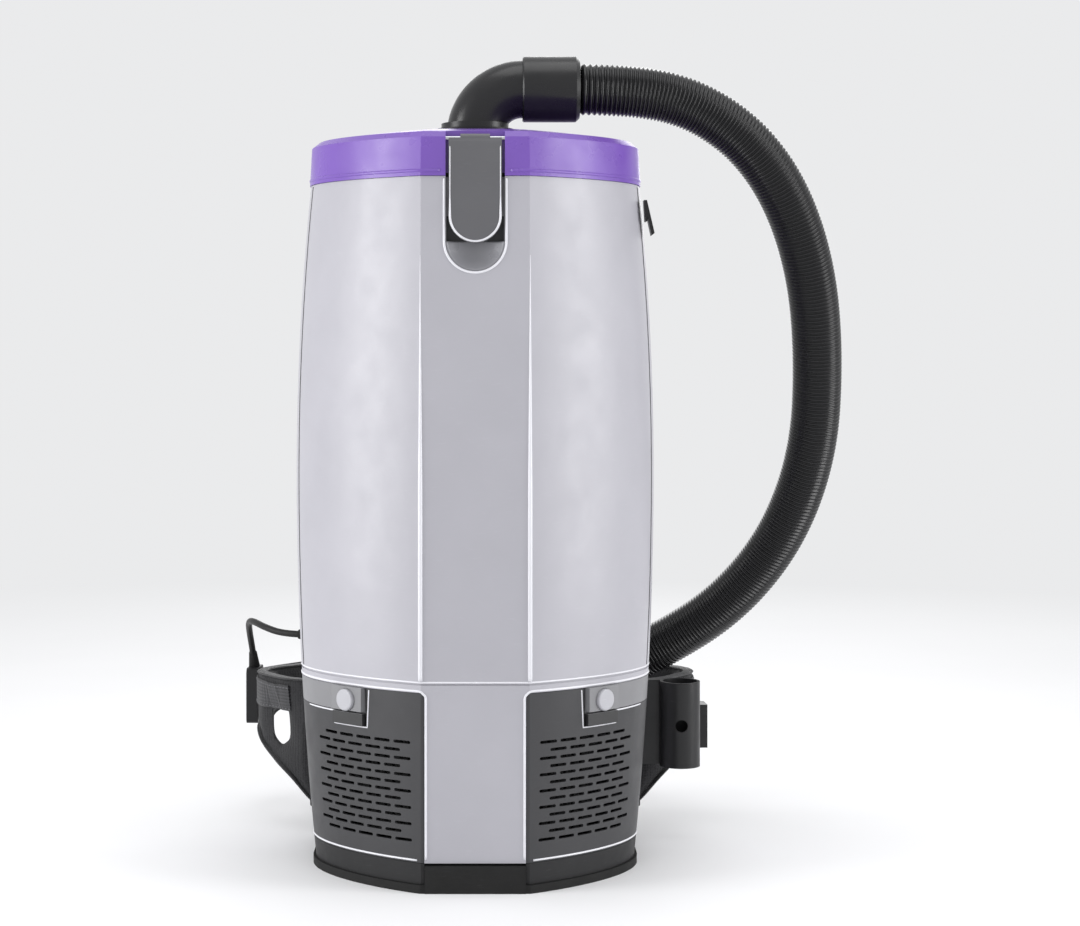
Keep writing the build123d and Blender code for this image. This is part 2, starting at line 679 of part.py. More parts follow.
with BuildPart() as latch_pins:
    for y in (LATCH_AXIS_Y, REAR_LATCH_AXIS_Y):
        with BuildSketch(Plane.YZ.offset(-LATCH_HALF)):
            with Locations((y, LATCH_AXIS_Z)):
                Circle(PIN_R)
        extrude(amount=2 * LATCH_HALF)
save(latch_pins.part, "latch_pins")

# ------------------------------------------------------------------ side hook for the power cord
HOOK_X = half_width(560) + 0.3
with BuildPart() as side_hook:
    with BuildSketch(Plane.XZ.offset(5)):
        Polygon(
            (HOOK_X, 566), (HOOK_X + 2.5, 566), (HOOK_X + 9, 538), (HOOK_X + 6.5, 536), (HOOK_X + 3, 552),
            (HOOK_X + 2.5, 548), (HOOK_X + 1.2, 548),
            align=None,
        )
    extrude(amount=14)
save(side_hook.part, "side_hook")

# ------------------------------------------------------------------ harness: backplate and pads
PLATE_Y = BODY_REAR + 5.0
with BuildPart() as backplate:
    with BuildSketch(Plane.XZ.offset(-BODY_REAR)):
        with Locations((0, 272)):
            RectangleRounded(208, 460, 34)
        with Locations((-62, 330), (62, 330), (0, 430)):
            SlotOverall(60, 12, rotation=90, mode=Mode.SUBTRACT)
        with Locations((0, 272)):
            with GridLocations(150, 400, 2, 2):
                Circle(2.3, mode=Mode.SUBTRACT)
    extrude(amount=-5)
    with BuildSketch(Plane.XZ.offset(-PLATE_Y)):
        with Locations((0, 272)):
            with GridLocations(150, 400, 2, 2):
                Circle(4.5)
    extrude(amount=2.2, mode=Mode.SUBTRACT)
save(backplate.part, "backplate")

with BuildPart() as plate_screws:
    for depth, radius in ((PLATE_Y - 2, 4.3), (BODY_REAR, 2.2)):
        with BuildSketch(Plane.XZ.offset(-depth)):
            with Locations((0, 272)):
                with GridLocations(150, 400, 2, 2):
                    Circle(radius)
        extrude(amount=depth - PLATE_Y + 0.2)
save(plate_screws.part, "backplate_screws")

with BuildPart() as lumbar_pad:
    with BuildSketch(Plane.XZ.offset(-PLATE_Y - 0.3)):
        with Locations((0, 190)):
            RectangleRounded(148, 86, 22)
    extrude(amount=-18)
    fillet(lumbar_pad.faces().sort_by(Axis.Y)[-1].edges(), 7)
save(lumbar_pad.part, "lumbar_pad")

with BuildPart() as upper_pad:
    with BuildSketch(Plane.XZ.offset(-PLATE_Y - 0.3)):
        with Locations((0, 350)):
            RectangleRounded(74, 190, 20)
    extrude(amount=-14)
    fillet(upper_pad.faces().sort_by(Axis.Y)[-1].edges(), 6)
save(upper_pad.part, "upper_pad")

# ------------------------------------------------------------------ shoulder straps
STRAP_X = 72.0
STRAP_W = 62.0
STRAP_T = 12.0
STRAP_Y0 = PLATE_Y + 0.5 + STRAP_T / 2
with BuildPart() as strap_right:
    with BuildLine(Plane.YZ.offset(STRAP_X)):
        FilletPolyline(
            (STRAP_Y0, 395), (STRAP_Y0, 505), (STRAP_Y0 + 38, 562), (STRAP_Y0 + 92, 545),
            (STRAP_Y0 + 118, 470), (STRAP_Y0 + 112, 395), (STRAP_Y0 + 92, 330),
            radius=38,
        )
    with BuildSketch(Plane(origin=(STRAP_X, STRAP_Y0, 395), x_dir=(1, 0, 0), z_dir=(0, 0, 1))):
        Rectangle(STRAP_W, STRAP_T)
    sweep()
with BuildPart() as strap_left:
    mirror(strap_right.part, about=Plane.YZ)
save(strap_right.part, "shoulder_strap_right")
save(strap_left.part, "shoulder_strap_left")


def flat_run(start, end, width, thickness):
    """Straight length of flat webbing between two points, its width kept level."""
    start, end = Vector(start), Vector(end)
    with BuildPart() as run:
        with BuildSketch(Plane(origin=start, x_dir=(1, 0, 0), z_dir=end - start)):
            Rectangle(width, thickness)
        extrude(amount=(end - start).length)
    return run.part


STRAP_END = (STRAP_X + 0.5, STRAP_Y0 + 90, 324)
ANCHOR = (90, PLATE_Y + 7, 223)
web_dir = (Vector(ANCHOR) - Vector(STRAP_END)).normalized()
with BuildPart() as adjusters:
    with BuildSketch(Plane(origin=STRAP_END, x_dir=(1, 0, 0), z_dir=web_dir)):
        RectangleRounded(36, 9, 3)
        with Locations((0, 2), (0, -2)):
            Rectangle(27, 2.4, mode=Mode.SUBTRACT)
    extrude(amount=18)
    mirror(about=Plane.YZ)
save(adjusters.part, "strap_adjusters")

with BuildPart() as lower_webs:
    add(flat_run(Vector(STRAP_END) + web_dir * 18.3, ANCHOR, 25, 1.8))
    mirror(about=Plane.YZ)
save(lower_webs.part, "strap_webbing")

with BuildPart() as anchors:
    for side in (-1, 1):
        with BuildSketch(Plane.XZ.offset(-PLATE_Y)):
            with Locations((side * 90, 214)):
                RectangleRounded(30, 14, 3)
        extrude(amount=-12)
save(anchors.part, "strap_anchors")

STERNUM_Z = 452.0
STERNUM_Y = STRAP_Y0 + 116.5
with BuildPart() as sternum_web:
    for side in (-1, 1):
        with Locations((side * 27, STERNUM_Y, STERNUM_Z)):
            Box(28, 1.6, 20)
save(sternum_web.part, "sternum_webbing")
with BuildPart() as sternum_buckle:
    with Locations((0, STERNUM_Y, STERNUM_Z)):
        Box(25, 8, 28)
    fillet(sternum_buckle.edges().filter_by(Axis.Y), 4)
save(sternum_buckle.part, "sternum_buckle")

with BuildPart() as grab_handle:
    with BuildLine(Plane.YZ):
        FilletPolyline(
            (PLATE_Y + 1.6, 452), (PLATE_Y + 1.6, 470), (PLATE_Y + 24, 474), (PLATE_Y + 24, 500),
            (PLATE_Y + 1.6, 497), (PLATE_Y + 1.6, 485), radius=4,
        )
    with BuildSketch(Plane(origin=(0, PLATE_Y + 1.6, 452), x_dir=(1, 0, 0), z_dir=(0, 0, 1))):
        Rectangle(28, 2.4)
    sweep()
save(grab_handle.part, "grab_handle")

# ------------------------------------------------------------------ hip belt
WING_T = 12.0
WING_Y0 = PLATE_Y + 0.4 + WING_T / 2
WING_ROUTE = [(72, WING_Y0), (168, WING_Y0), (200, 165), (196, 235), (146, 288)]
with BuildPart() as wing_right:
    with BuildLine(Plane.XY.offset(80)):
        FilletPolyline(*WING_ROUTE, radius=38)
    with BuildSketch(Plane(origin=(72, WING_Y0, 80), x_dir=(0, 1, 0), z_dir=(1, 0, 0))):
        Rectangle(WING_T, 130)
    sweep()
    with BuildSketch(Plane.XZ):
        Polygon((60, 18), (150, 18), (164, 44), (214, 84), (214, 143), (60, 143), align=None)
    extrude(amount=-400, mode=Mode.INTERSECT)
    with BuildSketch(Plane.YZ):
        Polygon((100, 10), (150, 10), (165, 84), (300, 96), (300, 134), (180, 143), (100, 143), align=None)
    extrude(amount=300, mode=Mode.INTERSECT)
    with BuildSketch(Plane.XZ):
        with Locations((181, 98)):
            SlotOverall(38, 13, rotation=90)
    extrude(amount=-200, mode=Mode.SUBTRACT)
with BuildPart() as wing_left:
    mirror(wing_right.part, about=Plane.YZ)
save(wing_right.part, "hip_pad_right")
save(wing_left.part, "hip_pad_left")

BELT_Z = 115.0
BELT_Y = 312.0
BUCKLE_X = 26.0
BELT_START = Vector(145.7, 288.3, BELT_Z)
BELT_CORNER = Vector(100, BELT_Y, BELT_Z)
with BuildPart() as belt_webs:
    with BuildLine():
        FilletPolyline(BELT_START, BELT_CORNER, (BUCKLE_X + 0.3, BELT_Y, BELT_Z), radius=60)
    with BuildSketch(Plane(origin=BELT_START, x_dir=(0, 0, 1), z_dir=BELT_CORNER - BELT_START)):
        Rectangle(34, 1.8)
    sweep()
    mirror(about=Plane.YZ)
save(belt_webs.part, "belt_webbing")

with BuildPart() as buckle_female:
    with BuildSketch(Plane.XZ.offset(-BELT_Y + 6.5)):
        Polygon(
            (2, BELT_Z - 21), (8, BELT_Z - 23), (20, BELT_Z - 19), (26, BELT_Z - 21), (26, BELT_Z + 21),
            (20, BELT_Z + 19), (8, BELT_Z + 23), (2, BELT_Z + 21),
            align=None,
        )
    extrude(amount=-13)
    fillet(buckle_female.faces().group_by(Axis.Y)[0].edges(), 2)
    fillet(buckle_female.faces().group_by(Axis.Y)[-1].edges(), 2)
    with Locations((10, BELT_Y, BELT_Z)):
        Box(22, 6, 33, mode=Mode.SUBTRACT)
    # windows in the sides, through which the prongs are squeezed
    with Locations((13, BELT_Y, BELT_Z)):
        Box(9, 6.5, 60, mode=Mode.SUBTRACT)
save(buckle_female.part, "buckle_socket")

with BuildPart() as buckle_male:
    with BuildSketch(Plane.XZ.offset(-BELT_Y + 6)):
        Polygon(
            (0, BELT_Z - 20), (-6, BELT_Z - 21), (-18, BELT_Z - 18), (-26, BELT_Z - 21), (-26, BELT_Z + 21),
            (-18, BELT_Z + 18), (-6, BELT_Z + 21), (0, BELT_Z + 20),
            align=None,
        )
    extrude(amount=-12)
    fillet(buckle_male.faces().group_by(Axis.Y)[0].edges(), 2)
    fillet(buckle_male.faces().group_by(Axis.Y)[-1].edges(), 2)
    with BuildSketch(Plane.XZ.offset(-BELT_Y + 2.5)):
        for side in (-1, 1):
            Polygon(
                (-2, BELT_Z + side * 9), (7, BELT_Z + side * 10), (17.5, BELT_Z + side * 11),
                (17.5, BELT_Z + side * 15), (10, BELT_Z + side * 16), (-2, BELT_Z + side * 15),
                align=None,
            )
        with Locations((8, BELT_Z)):
            Rectangle(18, 4)
    extrude(amount=-5)
save(buckle_male.part, "buckle_plug")

# tool holder on the right hip pad, and a webbing block beside it
HOLDER = (184, 92)
with BuildPart() as tool_holder:
    with BuildSketch(Plane.XY.offset(66)):
        with Locations(HOLDER):
            Circle(18)
        with Locations((163, 104)):
            Rectangle(26, 12)
    extrude(amount=76)
    with BuildSketch(Plane.XY.offset(60)):
        with Locations(HOLDER):
            Circle(15.5)
    extrude(amount=90, mode=Mode.SUBTRACT)
    with BuildSketch(Plane.XZ.offset(-80)):
        with Locations((HOLDER[0], 104)):
            Circle(5.5)
    extrude(amount=25, mode=Mode.SUBTRACT)
save(tool_holder.part, "tool_holder")

with BuildPart() as belt_block:
    with BuildSketch(Plane(origin=(206.3, 168.4, 90), x_dir=(-0.057, 0.998, 0), z_dir=(0.998, 0.057, 0))):
        Rectangle(22, 40)
    extrude(amount=9)
save(belt_block.part, "belt_adjuster_right")

# switch box on the left hip pad, its rocker, and the cable from the casing
SWITCH_PLANE = Plane(origin=(-204.2, 205.4, 113), x_dir=(-0.057, -0.998, 0), z_dir=(-0.998, 0.057, 0))
with BuildPart() as switch_box:
    with BuildSketch(SWITCH_PLANE):
        RectangleRounded(34, 52, 5)
    extrude(amount=11)
    with BuildSketch(SWITCH_PLANE.offset(3)):
        Rectangle(19, 27)
    extrude(amount=20, mode=Mode.SUBTRACT)
save(switch_box.part, "switch_box")
with BuildPart() as rocker:
    with BuildSketch(SWITCH_PLANE.offset(6)):
        Rectangle(18, 23)
    extrude(amount=6)
save(rocker.part, "switch_rocker")

GLAND_POINT = Vector(-142.4, 78.1, 185)
GLAND_DIR = Vector(-0.947, 0.32, 0).normalized()
with BuildPart() as gland:
    with BuildSketch(Plane(origin=GLAND_POINT + GLAND_DIR * 0.6, z_dir=GLAND_DIR)):
        Circle(8)
    extrude(amount=4)
    with BuildSketch(Plane(origin=GLAND_POINT + GLAND_DIR * 4, z_dir=GLAND_DIR)):
        Circle(5.5)
    extrude(amount=12, taper=6)
save(gland.part, "cable_gland")

cable_start = GLAND_POINT + GLAND_DIR * 16.4
CABLE_ROUTE = [
    (cable_start.X, cable_start.Y, cable_start.Z),
    (-173, 88.3, 185),
    (-190, 101, 189),
    (-203, 124, 192),
    (-210, 152, 188),
    (-212, 180, 174),
    (-211, 198, 156),
    (-210, 204, 140.6),
]
save(cord_tube(CABLE_ROUTE, CABLE_D), "switch_cable")
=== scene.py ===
"""Looks for the backpack vacuum cleaner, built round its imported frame."""

import json
import math

import bmesh
import bpy
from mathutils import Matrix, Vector
from mathutils.bvhtree import BVHTree


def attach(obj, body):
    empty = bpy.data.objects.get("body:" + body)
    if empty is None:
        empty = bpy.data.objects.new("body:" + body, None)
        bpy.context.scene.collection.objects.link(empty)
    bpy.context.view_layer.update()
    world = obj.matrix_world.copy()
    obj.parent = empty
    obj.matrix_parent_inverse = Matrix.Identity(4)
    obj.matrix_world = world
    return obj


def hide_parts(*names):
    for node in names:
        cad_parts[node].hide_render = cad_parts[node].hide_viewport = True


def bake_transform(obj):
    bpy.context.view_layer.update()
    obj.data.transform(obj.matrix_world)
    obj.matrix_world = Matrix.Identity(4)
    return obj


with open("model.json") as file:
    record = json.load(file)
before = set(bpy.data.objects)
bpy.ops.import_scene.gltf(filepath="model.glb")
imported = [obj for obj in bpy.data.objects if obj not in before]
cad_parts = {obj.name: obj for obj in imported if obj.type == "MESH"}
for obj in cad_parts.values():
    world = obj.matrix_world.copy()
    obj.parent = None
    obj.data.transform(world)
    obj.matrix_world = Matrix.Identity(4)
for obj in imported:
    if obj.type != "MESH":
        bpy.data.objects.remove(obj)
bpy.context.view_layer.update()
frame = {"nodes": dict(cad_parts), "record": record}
NODES = frame["nodes"]
SIDES = ((1, "right"), (-1, "left"))
MM = 0.001
BACKDROP = (0.97, 0.975, 0.985, 1)
BACKDROP_LIGHT = 0.85
FLOOR_HALF = 9.0
FADE_FROM, FADE_TO = 0.55, 2.4     # distances from the machine between which the floor turns into backdrop


# ------------------------------------------------------------------ camera, floor and light
def make_camera():
    """Level camera square to the outer side; the shift only centres the machine in the picture."""
    data = bpy.data.cameras.new("camera")
    data.lens = 72
    data.sensor_width = 36
    data.shift_x = 0.060
    data.shift_y = -0.095
    data.clip_start, data.clip_end = 0.05, 30
    camera = bpy.data.objects.new("camera", data)
    camera.location = (0, -1.85, 0.43)
    camera.rotation_euler = (math.radians(90), 0, 0)
    bpy.context.scene.collection.objects.link(camera)
    bpy.context.scene.camera = camera


def area_light(name, place, target, size, power, colour=(1, 1, 1)):
    """Softbox at place, turned to face target."""
    data = bpy.data.lights.new(name, "AREA")
    data.shape = "RECTANGLE"
    data.size, data.size_y = size
    data.energy = power
    data.color = colour
    lamp = bpy.data.objects.new(name, data)
    lamp.location = place
    lamp.rotation_euler = (Vector(target) - Vector(place)).to_track_quat("-Z", "Y").to_euler()
    bpy.context.scene.collection.objects.link(lamp)


def make_studio():
    """Pale floor and backdrop, bright side softboxes, a dim front fill and a top light."""
    area_light("left_box", (-1.7, -0.55, 0.6), (0, 0, 0.35), (0.7, 1.5), 21)
    area_light("right_box", (1.8, -0.5, 0.65), (0, 0, 0.35), (0.7, 1.5), 18)
    area_light("top_box", (0.1, -0.2, 2.0), (0, 0, 0.5), (1.2, 1.0), 7)
    area_light("back_fill", (0.3, 2.3, 1.2), (0, 0, 0.3), (1.6, 1.2), 12)
    world = bpy.data.worlds.new("studio")
    bpy.context.scene.world = world
    world.use_nodes = True
    world.node_tree.nodes["Background"].inputs["Color"].default_value = BACKDROP
    world.node_tree.nodes["Background"].inputs["Strength"].default_value = BACKDROP_LIGHT
    mesh = bpy.data.meshes.new("floor")
    corners = [(x * FLOOR_HALF, y * FLOOR_HALF, 0) for x, y in ((-1, -1), (1, -1), (1, 1), (-1, 1))]
    mesh.from_pydata(corners, [], [(0, 1, 2, 3)])
    floor = bpy.data.objects.new("floor", mesh)
    bpy.context.scene.collection.objects.link(floor)
    mesh.materials.append(floor_material())


def floor_material():
    """Pale floor that runs out into the backdrop's own tone, so that no horizon shows."""
    material, tree, shader, place = new_material("floor_paint")
    shade_of = ramp_of(tree, noise_of(tree, place, 3, 3), 0.3, 0.7)
    paint = mix_of(tree, shade_of, (0.84, 0.84, 0.85), (0.87, 0.87, 0.88))
    tree.links.new(paint, shader.inputs["Base Color"])
    shader.inputs["Roughness"].default_value = 0.75
    glow = tree.nodes.new("ShaderNodeEmission")
    glow.inputs["Color"].default_value = BACKDROP
    glow.inputs["Strength"].default_value = BACKDROP_LIGHT
    far = tree.nodes.new("ShaderNodeVectorMath")
    far.operation = "LENGTH"
    tree.links.new(place, far.inputs[0])
    blend = tree.nodes.new("ShaderNodeMixShader")
    tree.links.new(ramp_of(tree, far.outputs["Value"], FADE_FROM, FADE_TO), blend.inputs["Fac"])
    tree.links.new(shader.outputs["BSDF"], blend.inputs[1])
    tree.links.new(glow.outputs["Emission"], blend.inputs[2])
    tree.links.new(blend.outputs["Shader"], tree.nodes["Material Output"].inputs["Surface"])
    return material


# ------------------------------------------------------------------ material building blocks
def new_material(name):
    material = bpy.data.materials.new(name)
    material.use_nodes = True
    tree = material.node_tree
    place = tree.nodes.new("ShaderNodeTexCoord")
    return material, tree, tree.nodes["Principled BSDF"], place.outputs["Object"]


def noise_of(tree, place, scale, detail=2.0, stretch=None):
    """Noise in object space, in cycles per metre; stretch scales the three axes."""
    texture = tree.nodes.new("ShaderNodeTexNoise")
    texture.inputs["Scale"].default_value = scale
    texture.inputs["Detail"].default_value = detail
    if stretch:
        mapping = tree.nodes.new("ShaderNodeMapping")
        mapping.inputs["Scale"].default_value = stretch
        tree.links.new(place, mapping.inputs["Vector"])
        place = mapping.outputs["Vector"]
    tree.links.new(place, texture.inputs["Vector"])
    return texture.outputs["Fac"]


def ramp_of(tree, value, low, high, at_low=0.0, at_high=1.0):
    """Value mapped from low..high to at_low..at_high, held at the ends."""
    node = tree.nodes.new("ShaderNodeMapRange")
    for socket, number in (("From Min", low), ("From Max", high), ("To Min", at_low), ("To Max", at_high)):
        node.inputs[socket].default_value = number
    tree.links.new(value, node.inputs["Value"])
    return node.outputs["Result"]


def math_of(tree, operation, first, second=None):
    node = tree.nodes.new("ShaderNodeMath")
    node.operation = operation
    for socket, value in zip(node.inputs, (first, second)):
        if isinstance(value, (int, float)):
            socket.default_value = value
        elif value is not None:
            tree.links.new(value, socket)
    return node.outputs["Value"]


def mix_of(tree, factor, first, second):
    """Colour mixed from first to second; each is an RGB triple or a socket."""
    node = tree.nodes.new("ShaderNodeMix")
    node.data_type = "RGBA"
    tree.links.new(factor, node.inputs["Factor"])
    sockets = [s for s in node.inputs if s.type == "RGBA"]
    for socket, value in zip(sockets, (first, second)):
        if isinstance(value, (tuple, list)):
            socket.default_value = (*value, 1)
        else:
            tree.links.new(value, socket)
    return [s for s in node.outputs if s.type == "RGBA"][0]


def bump_of(tree, shader, height, strength, distance):
    node = tree.nodes.new("ShaderNodeBump")
    node.inputs["Strength"].default_value = strength
    node.inputs["Distance"].default_value = distance
    tree.links.new(height, node.inputs["Height"])
    tree.links.new(node.outputs["Normal"], shader.inputs["Normal"])


def shade(colour, factor):
    return tuple(min(1.0, c * factor) for c in colour)


def plastic(name, colour, rough=0.45, grain=1400, bump=0.1, drift=0.05, scuffs=0.25, gloss=0.5):
    """Moulded plastic or painted metal: slow drift of colour, spark texture, uneven gloss, fine scuffs."""
    material, tree, shader, place = new_material(name)
    slow = ramp_of(tree, noise_of(tree, place, 14, 3), 0.3, 0.7)
    base = mix_of(tree, slow, shade(colour, 1 - drift), shade(colour, 1 + drift))
    marks = noise_of(tree, place, 110, 8, stretch=(1, 1, 6))
    marks = ramp_of(tree, marks, 0.6, 0.75, 0, scuffs)
    pale = tuple(1.25 * c + 0.02 for c in colour)
    tree.links.new(mix_of(tree, marks, base, pale), shader.inputs["Base Color"])
    uneven = ramp_of(tree, noise_of(tree, place, 45, 4), 0.3, 0.7, rough - 0.06, rough + 0.08)
    tree.links.new(uneven, shader.inputs["Roughness"])
    bump_of(tree, shader, noise_of(tree, place, grain, 2), bump, 0.0004)
    shader.inputs["Specular IOR Level"].default_value = gloss
    return material


def brushed(name, colour, rough=0.32, stretch=(1, 1, 30)):
    """Bright or dark metal with fine turning or brushing lines."""
    material, tree, shader, place = new_material(name)
    lines = noise_of(tree, place, 400, 3, stretch=stretch)
    tree.links.new(mix_of(tree, lines, shade(colour, 0.85), shade(colour, 1.12)), shader.inputs["Base Color"])
    tree.links.new(ramp_of(tree, lines, 0.2, 0.8, rough - 0.1, rough + 0.12), shader.inputs["Roughness"])
    bump_of(tree, shader, lines, 0.12, 0.0002)
    shader.inputs["Metallic"].default_value = 1.0
    return material


def cloth(name, colour, cell=1.6, depth=0.5, rough=0.85, sheen=0.35, gap_shade=0.6):
    """Knitted or woven fabric: small cells with painted shade in the gaps between raised threads, and slow
    fading.
    """
    material, tree, shader, place = new_material(name)
    cells = tree.nodes.new("ShaderNodeTexVoronoi")
    cells.inputs["Scale"].default_value = 1000 / cell
    cells.inputs["Randomness"].default_value = 0.25
    tree.links.new(place, cells.inputs["Vector"])
    centre = ramp_of(tree, cells.outputs["Distance"], 0.15, 0.55)
    slow = ramp_of(tree, noise_of(tree, place, 22, 4), 0.3, 0.7)
    faded = mix_of(tree, slow, shade(colour, 0.85), shade(colour, 1.25))
    # The gaps between the threads are darkened: painted shade.
    tree.links.new(mix_of(tree, centre, shade(colour, 1 - gap_shade), faded), shader.inputs["Base Color"])
    fuzz = noise_of(tree, place, 2600, 2)
    height = math_of(tree, "ADD", centre, math_of(tree, "MULTIPLY", fuzz, 0.3))
    bump_of(tree, shader, height, depth, 0.0007)
    tree.links.new(ramp_of(tree, slow, 0, 1, rough - 0.08, rough + 0.05), shader.inputs["Roughness"])
    shader.inputs["Sheen Weight"].default_value = sheen
    shader.inputs["Sheen Roughness"].default_value = 0.5
    return material


def woven(name, colour, rough=0.6, pitch=1.5, rib=3.0):
    """Webbing: weft bars across the run and a zigzag of warp ribs, from the strip's own map in metres."""
    material, tree, shader, place = new_material(name)
    split = tree.nodes.new("ShaderNodeSeparateXYZ")
    tree.links.new(place.node.outputs["UV"], split.inputs["Vector"])
    across = math_of(tree, "MULTIPLY", split.outputs["X"], 1000 * math.tau / rib)
    along = math_of(tree, "MULTIPLY", split.outputs["Y"], 1000 * math.tau / pitch)
    ribs = math_of(tree, "SINE", across)
    zigzag = math_of(tree, "ADD", along, math_of(tree, "MULTIPLY", ribs, 1.4))
    bars = math_of(tree, "SINE", zigzag)
    height = math_of(tree, "ADD", math_of(tree, "MULTIPLY", bars, 0.5), math_of(tree, "MULTIPLY", ribs, 0.5))
    # The colour follows the relief: darker in the weave's low parts and paler on its raised threads, as
    # painted shade and highlight.
    light = ramp_of(tree, height, -0.9, 0.9)
    slow = noise_of(tree, place, 30, 4)
    base = mix_of(tree, light, shade(colour, 0.45), shade(colour, 1.5))
    worn = mix_of(tree, ramp_of(tree, slow, 0.45, 0.75, 0, 0.35), base, shade(colour, 2.0))
    tree.links.new(worn, shader.inputs["Base Color"])
    tree.links.new(ramp_of(tree, height, -1, 1, rough + 0.15, rough - 0.1), shader.inputs["Roughness"])
    bump_of(tree, shader, height, 0.55, 0.0004)
    shader.inputs["Sheen Weight"].default_value = 0.15
    return material


# ------------------------------------------------------------------ mesh building blocks
def add_piece(name, verts, faces, material, body=None, smooth=True, uvs=None):
    """Mesh object in the row frame, with its material, riding on a body."""
    mesh = bpy.data.meshes.new(name)
    mesh.from_pydata([tuple(v) for v in verts], [], faces)
    if uvs:
        layer = mesh.uv_layers.new(name="map")
        for loop in mesh.loops:
            layer.data[loop.index].uv = uvs[loop.vertex_index]
    mesh.polygons.foreach_set("use_smooth", [smooth] * len(mesh.polygons))
    mesh.materials.append(material)
    mesh.update()
    piece = bpy.data.objects.new(name, mesh)
    bpy.context.scene.collection.objects.link(piece)
    if body:
        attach(piece, body)
    return piece


def carried_frames(points, ups=None, across=None):
    """Tangent, side and up vectors along a line: from given ups, a fixed side, or carried along it."""
    frames, up = [], None
    for i in range(len(points)):
        tangent = (points[min(i + 1, len(points) - 1)] - points[max(i - 1, 0)]).normalized()
        if across is not None:
            side = (across - tangent * across.dot(tangent)).normalized()
            up = side.cross(tangent)
        else:
            up = ups[i] if ups else (up or tangent.orthogonal())
            up = (up - tangent * up.dot(tangent)).normalized()
            side = tangent.cross(up)
        frames.append((tangent, side, up))
    return frames


def sweep(name, points, profile, material, body=None, ups=None, across=None, scales=None, smooth=True):
    """A closed profile of (side, up) offsets carried along a line, with its own map in metres."""
    frames = carried_frames(points, ups, across)
    verts, faces, uvs, run = [], [], [], 0.0
    count = len(profile)
    for i, (point, (_, side, up)) in enumerate(zip(points, frames)):
        run += (point - points[i - 1]).length if i else 0.0
        scale = scales[i] if scales else 1.0
        for a, b in profile:
            verts.append(point + side * (a * scale) + up * (b * scale))
            uvs.append((a, run))
    for i in range(len(points) - 1):
        for j in range(count):
            k = (j + 1) % count
            faces.append((i * count + j, i * count + k, (i + 1) * count + k, (i + 1) * count + j))
    faces.append(tuple(range(count))[::-1])
    faces.append(tuple((len(points) - 1) * count + j for j in range(count)))
    return add_piece(name, verts, faces, material, body, smooth, uvs)


def circle_profile(radius, sides=12):
    return [
        (radius * math.cos(math.tau * i / sides), radius * math.sin(math.tau * i / sides))
        for i in range(sides)
    ]


def bead_profile(width, height, sunk=0.0008):
    """Half-round moulding: its foot is sunk below the surface it sits on."""
    arc = [
        (width / 2 * math.cos(math.pi * i / 6), height * math.sin(math.pi * i / 6)) for i in range(7)
    ]
    return [(width / 2, -sunk), *arc, (-width / 2, -sunk)]


def strip_profile(width, thickness, edge=0.0006):
    """Flat webbing section with rounded selvages."""
    w, t = width / 2, thickness / 2
    top = [(-w + edge, t), (w - edge, t), (w, t * 0.4), (w, -t * 0.4), (w - edge, -t), (-w + edge, -t)]
    return [*top, (-w, -t * 0.4), (-w, t * 0.4)]


def lathe(name, start, axis, profile, material, body, sides=64):
    """Solid of revolution: profile is (distance along the axis, radius) pairs, in metres."""
    axis = axis.normalized()
    side = axis.orthogonal().normalized()
    up = axis.cross(side)
    verts = []
    for along, radius in profile:
        for i in range(sides):
            turn = math.tau * i / sides
            verts.append(start + axis * along + (side * math.cos(turn) + up * math.sin(turn)) * radius)
    faces = []
    rings = len(profile)
    for r in range(rings):
        s = (r + 1) % rings
        for i in range(sides):
            j = (i + 1) % sides
            faces.append((r * sides + i, r * sides + j, s * sides + j, s * sides + i))
    return add_piece(name, verts, faces, material, body)


def rounded(profile, radius, steps=4):
    """Closed profile with each corner turned into a small curve."""
    out = []
    for i, corner in enumerate(profile):
        corner = Vector(corner)
        before, after = Vector(profile[i - 1]), Vector(profile[(i + 1) % len(profile)])
        cut_a = min(radius, (before - corner).length * 0.4)
        cut_b = min(radius, (after - corner).length * 0.4)
        a = corner + (before - corner).normalized() * cut_a
        b = corner + (after - corner).normalized() * cut_b
        for k in range(steps + 1):
            t = k / steps
            out.append(tuple(a * (1 - t) ** 2 + corner * 2 * t * (1 - t) + b * t * t))
    return out


def length_of(line):
    return sum((b - a).length for a, b in zip(line, line[1:]))


def even_points(line, step):
    """Points at even steps along a line of points."""
    gaps = [(b - a).length for a, b in zip(line, line[1:])]
    count = max(2, round(sum(gaps) / step))
    target, run, i, out = 0.0, 0.0, 0, []
    for n in range(count + 1):
        target = sum(gaps) * n / count
        while i < len(gaps) - 1 and run + gaps[i] < target:
            run += gaps[i]
            i += 1
        out.append(line[i].lerp(line[i + 1], min(1.0, (target - run) / gaps[i])))
    return out


# ------------------------------------------------------------------ the casing's own surface
def mesh_tree(*pieces):
    """Tree for casting rays at the pieces' meshes."""
    verts, faces = [], []
    for piece in pieces:
        first = len(verts)
        verts += [v.co.copy() for v in piece.data.vertices]
        faces += [[first + i for i in p.vertices] for p in piece.data.polygons]
    return BVHTree.FromPolygons(verts, faces)


def surface_tree(*names):
    """The same for CAD nodes, by name."""
    return mesh_tree(*(NODES[name] for name in names))


def from_front(tree, x, z):
    """Where a level line from the outer side meets the surface, and the normal there."""
    place, normal, _, _ = tree.ray_cast(Vector((x, -0.5, z)), Vector((0, 1, 0)))
    return place, normal


def from_round(tree, turn, z):
    """The same from a level direction; turn is 0 at the front and 90 degrees at the right."""
    out = Vector((math.sin(turn), -math.cos(turn), 0))
    place, normal, _, _ = tree.ray_cast(Vector((0, 0, z)) + out * 0.6, -out)
    return place, normal


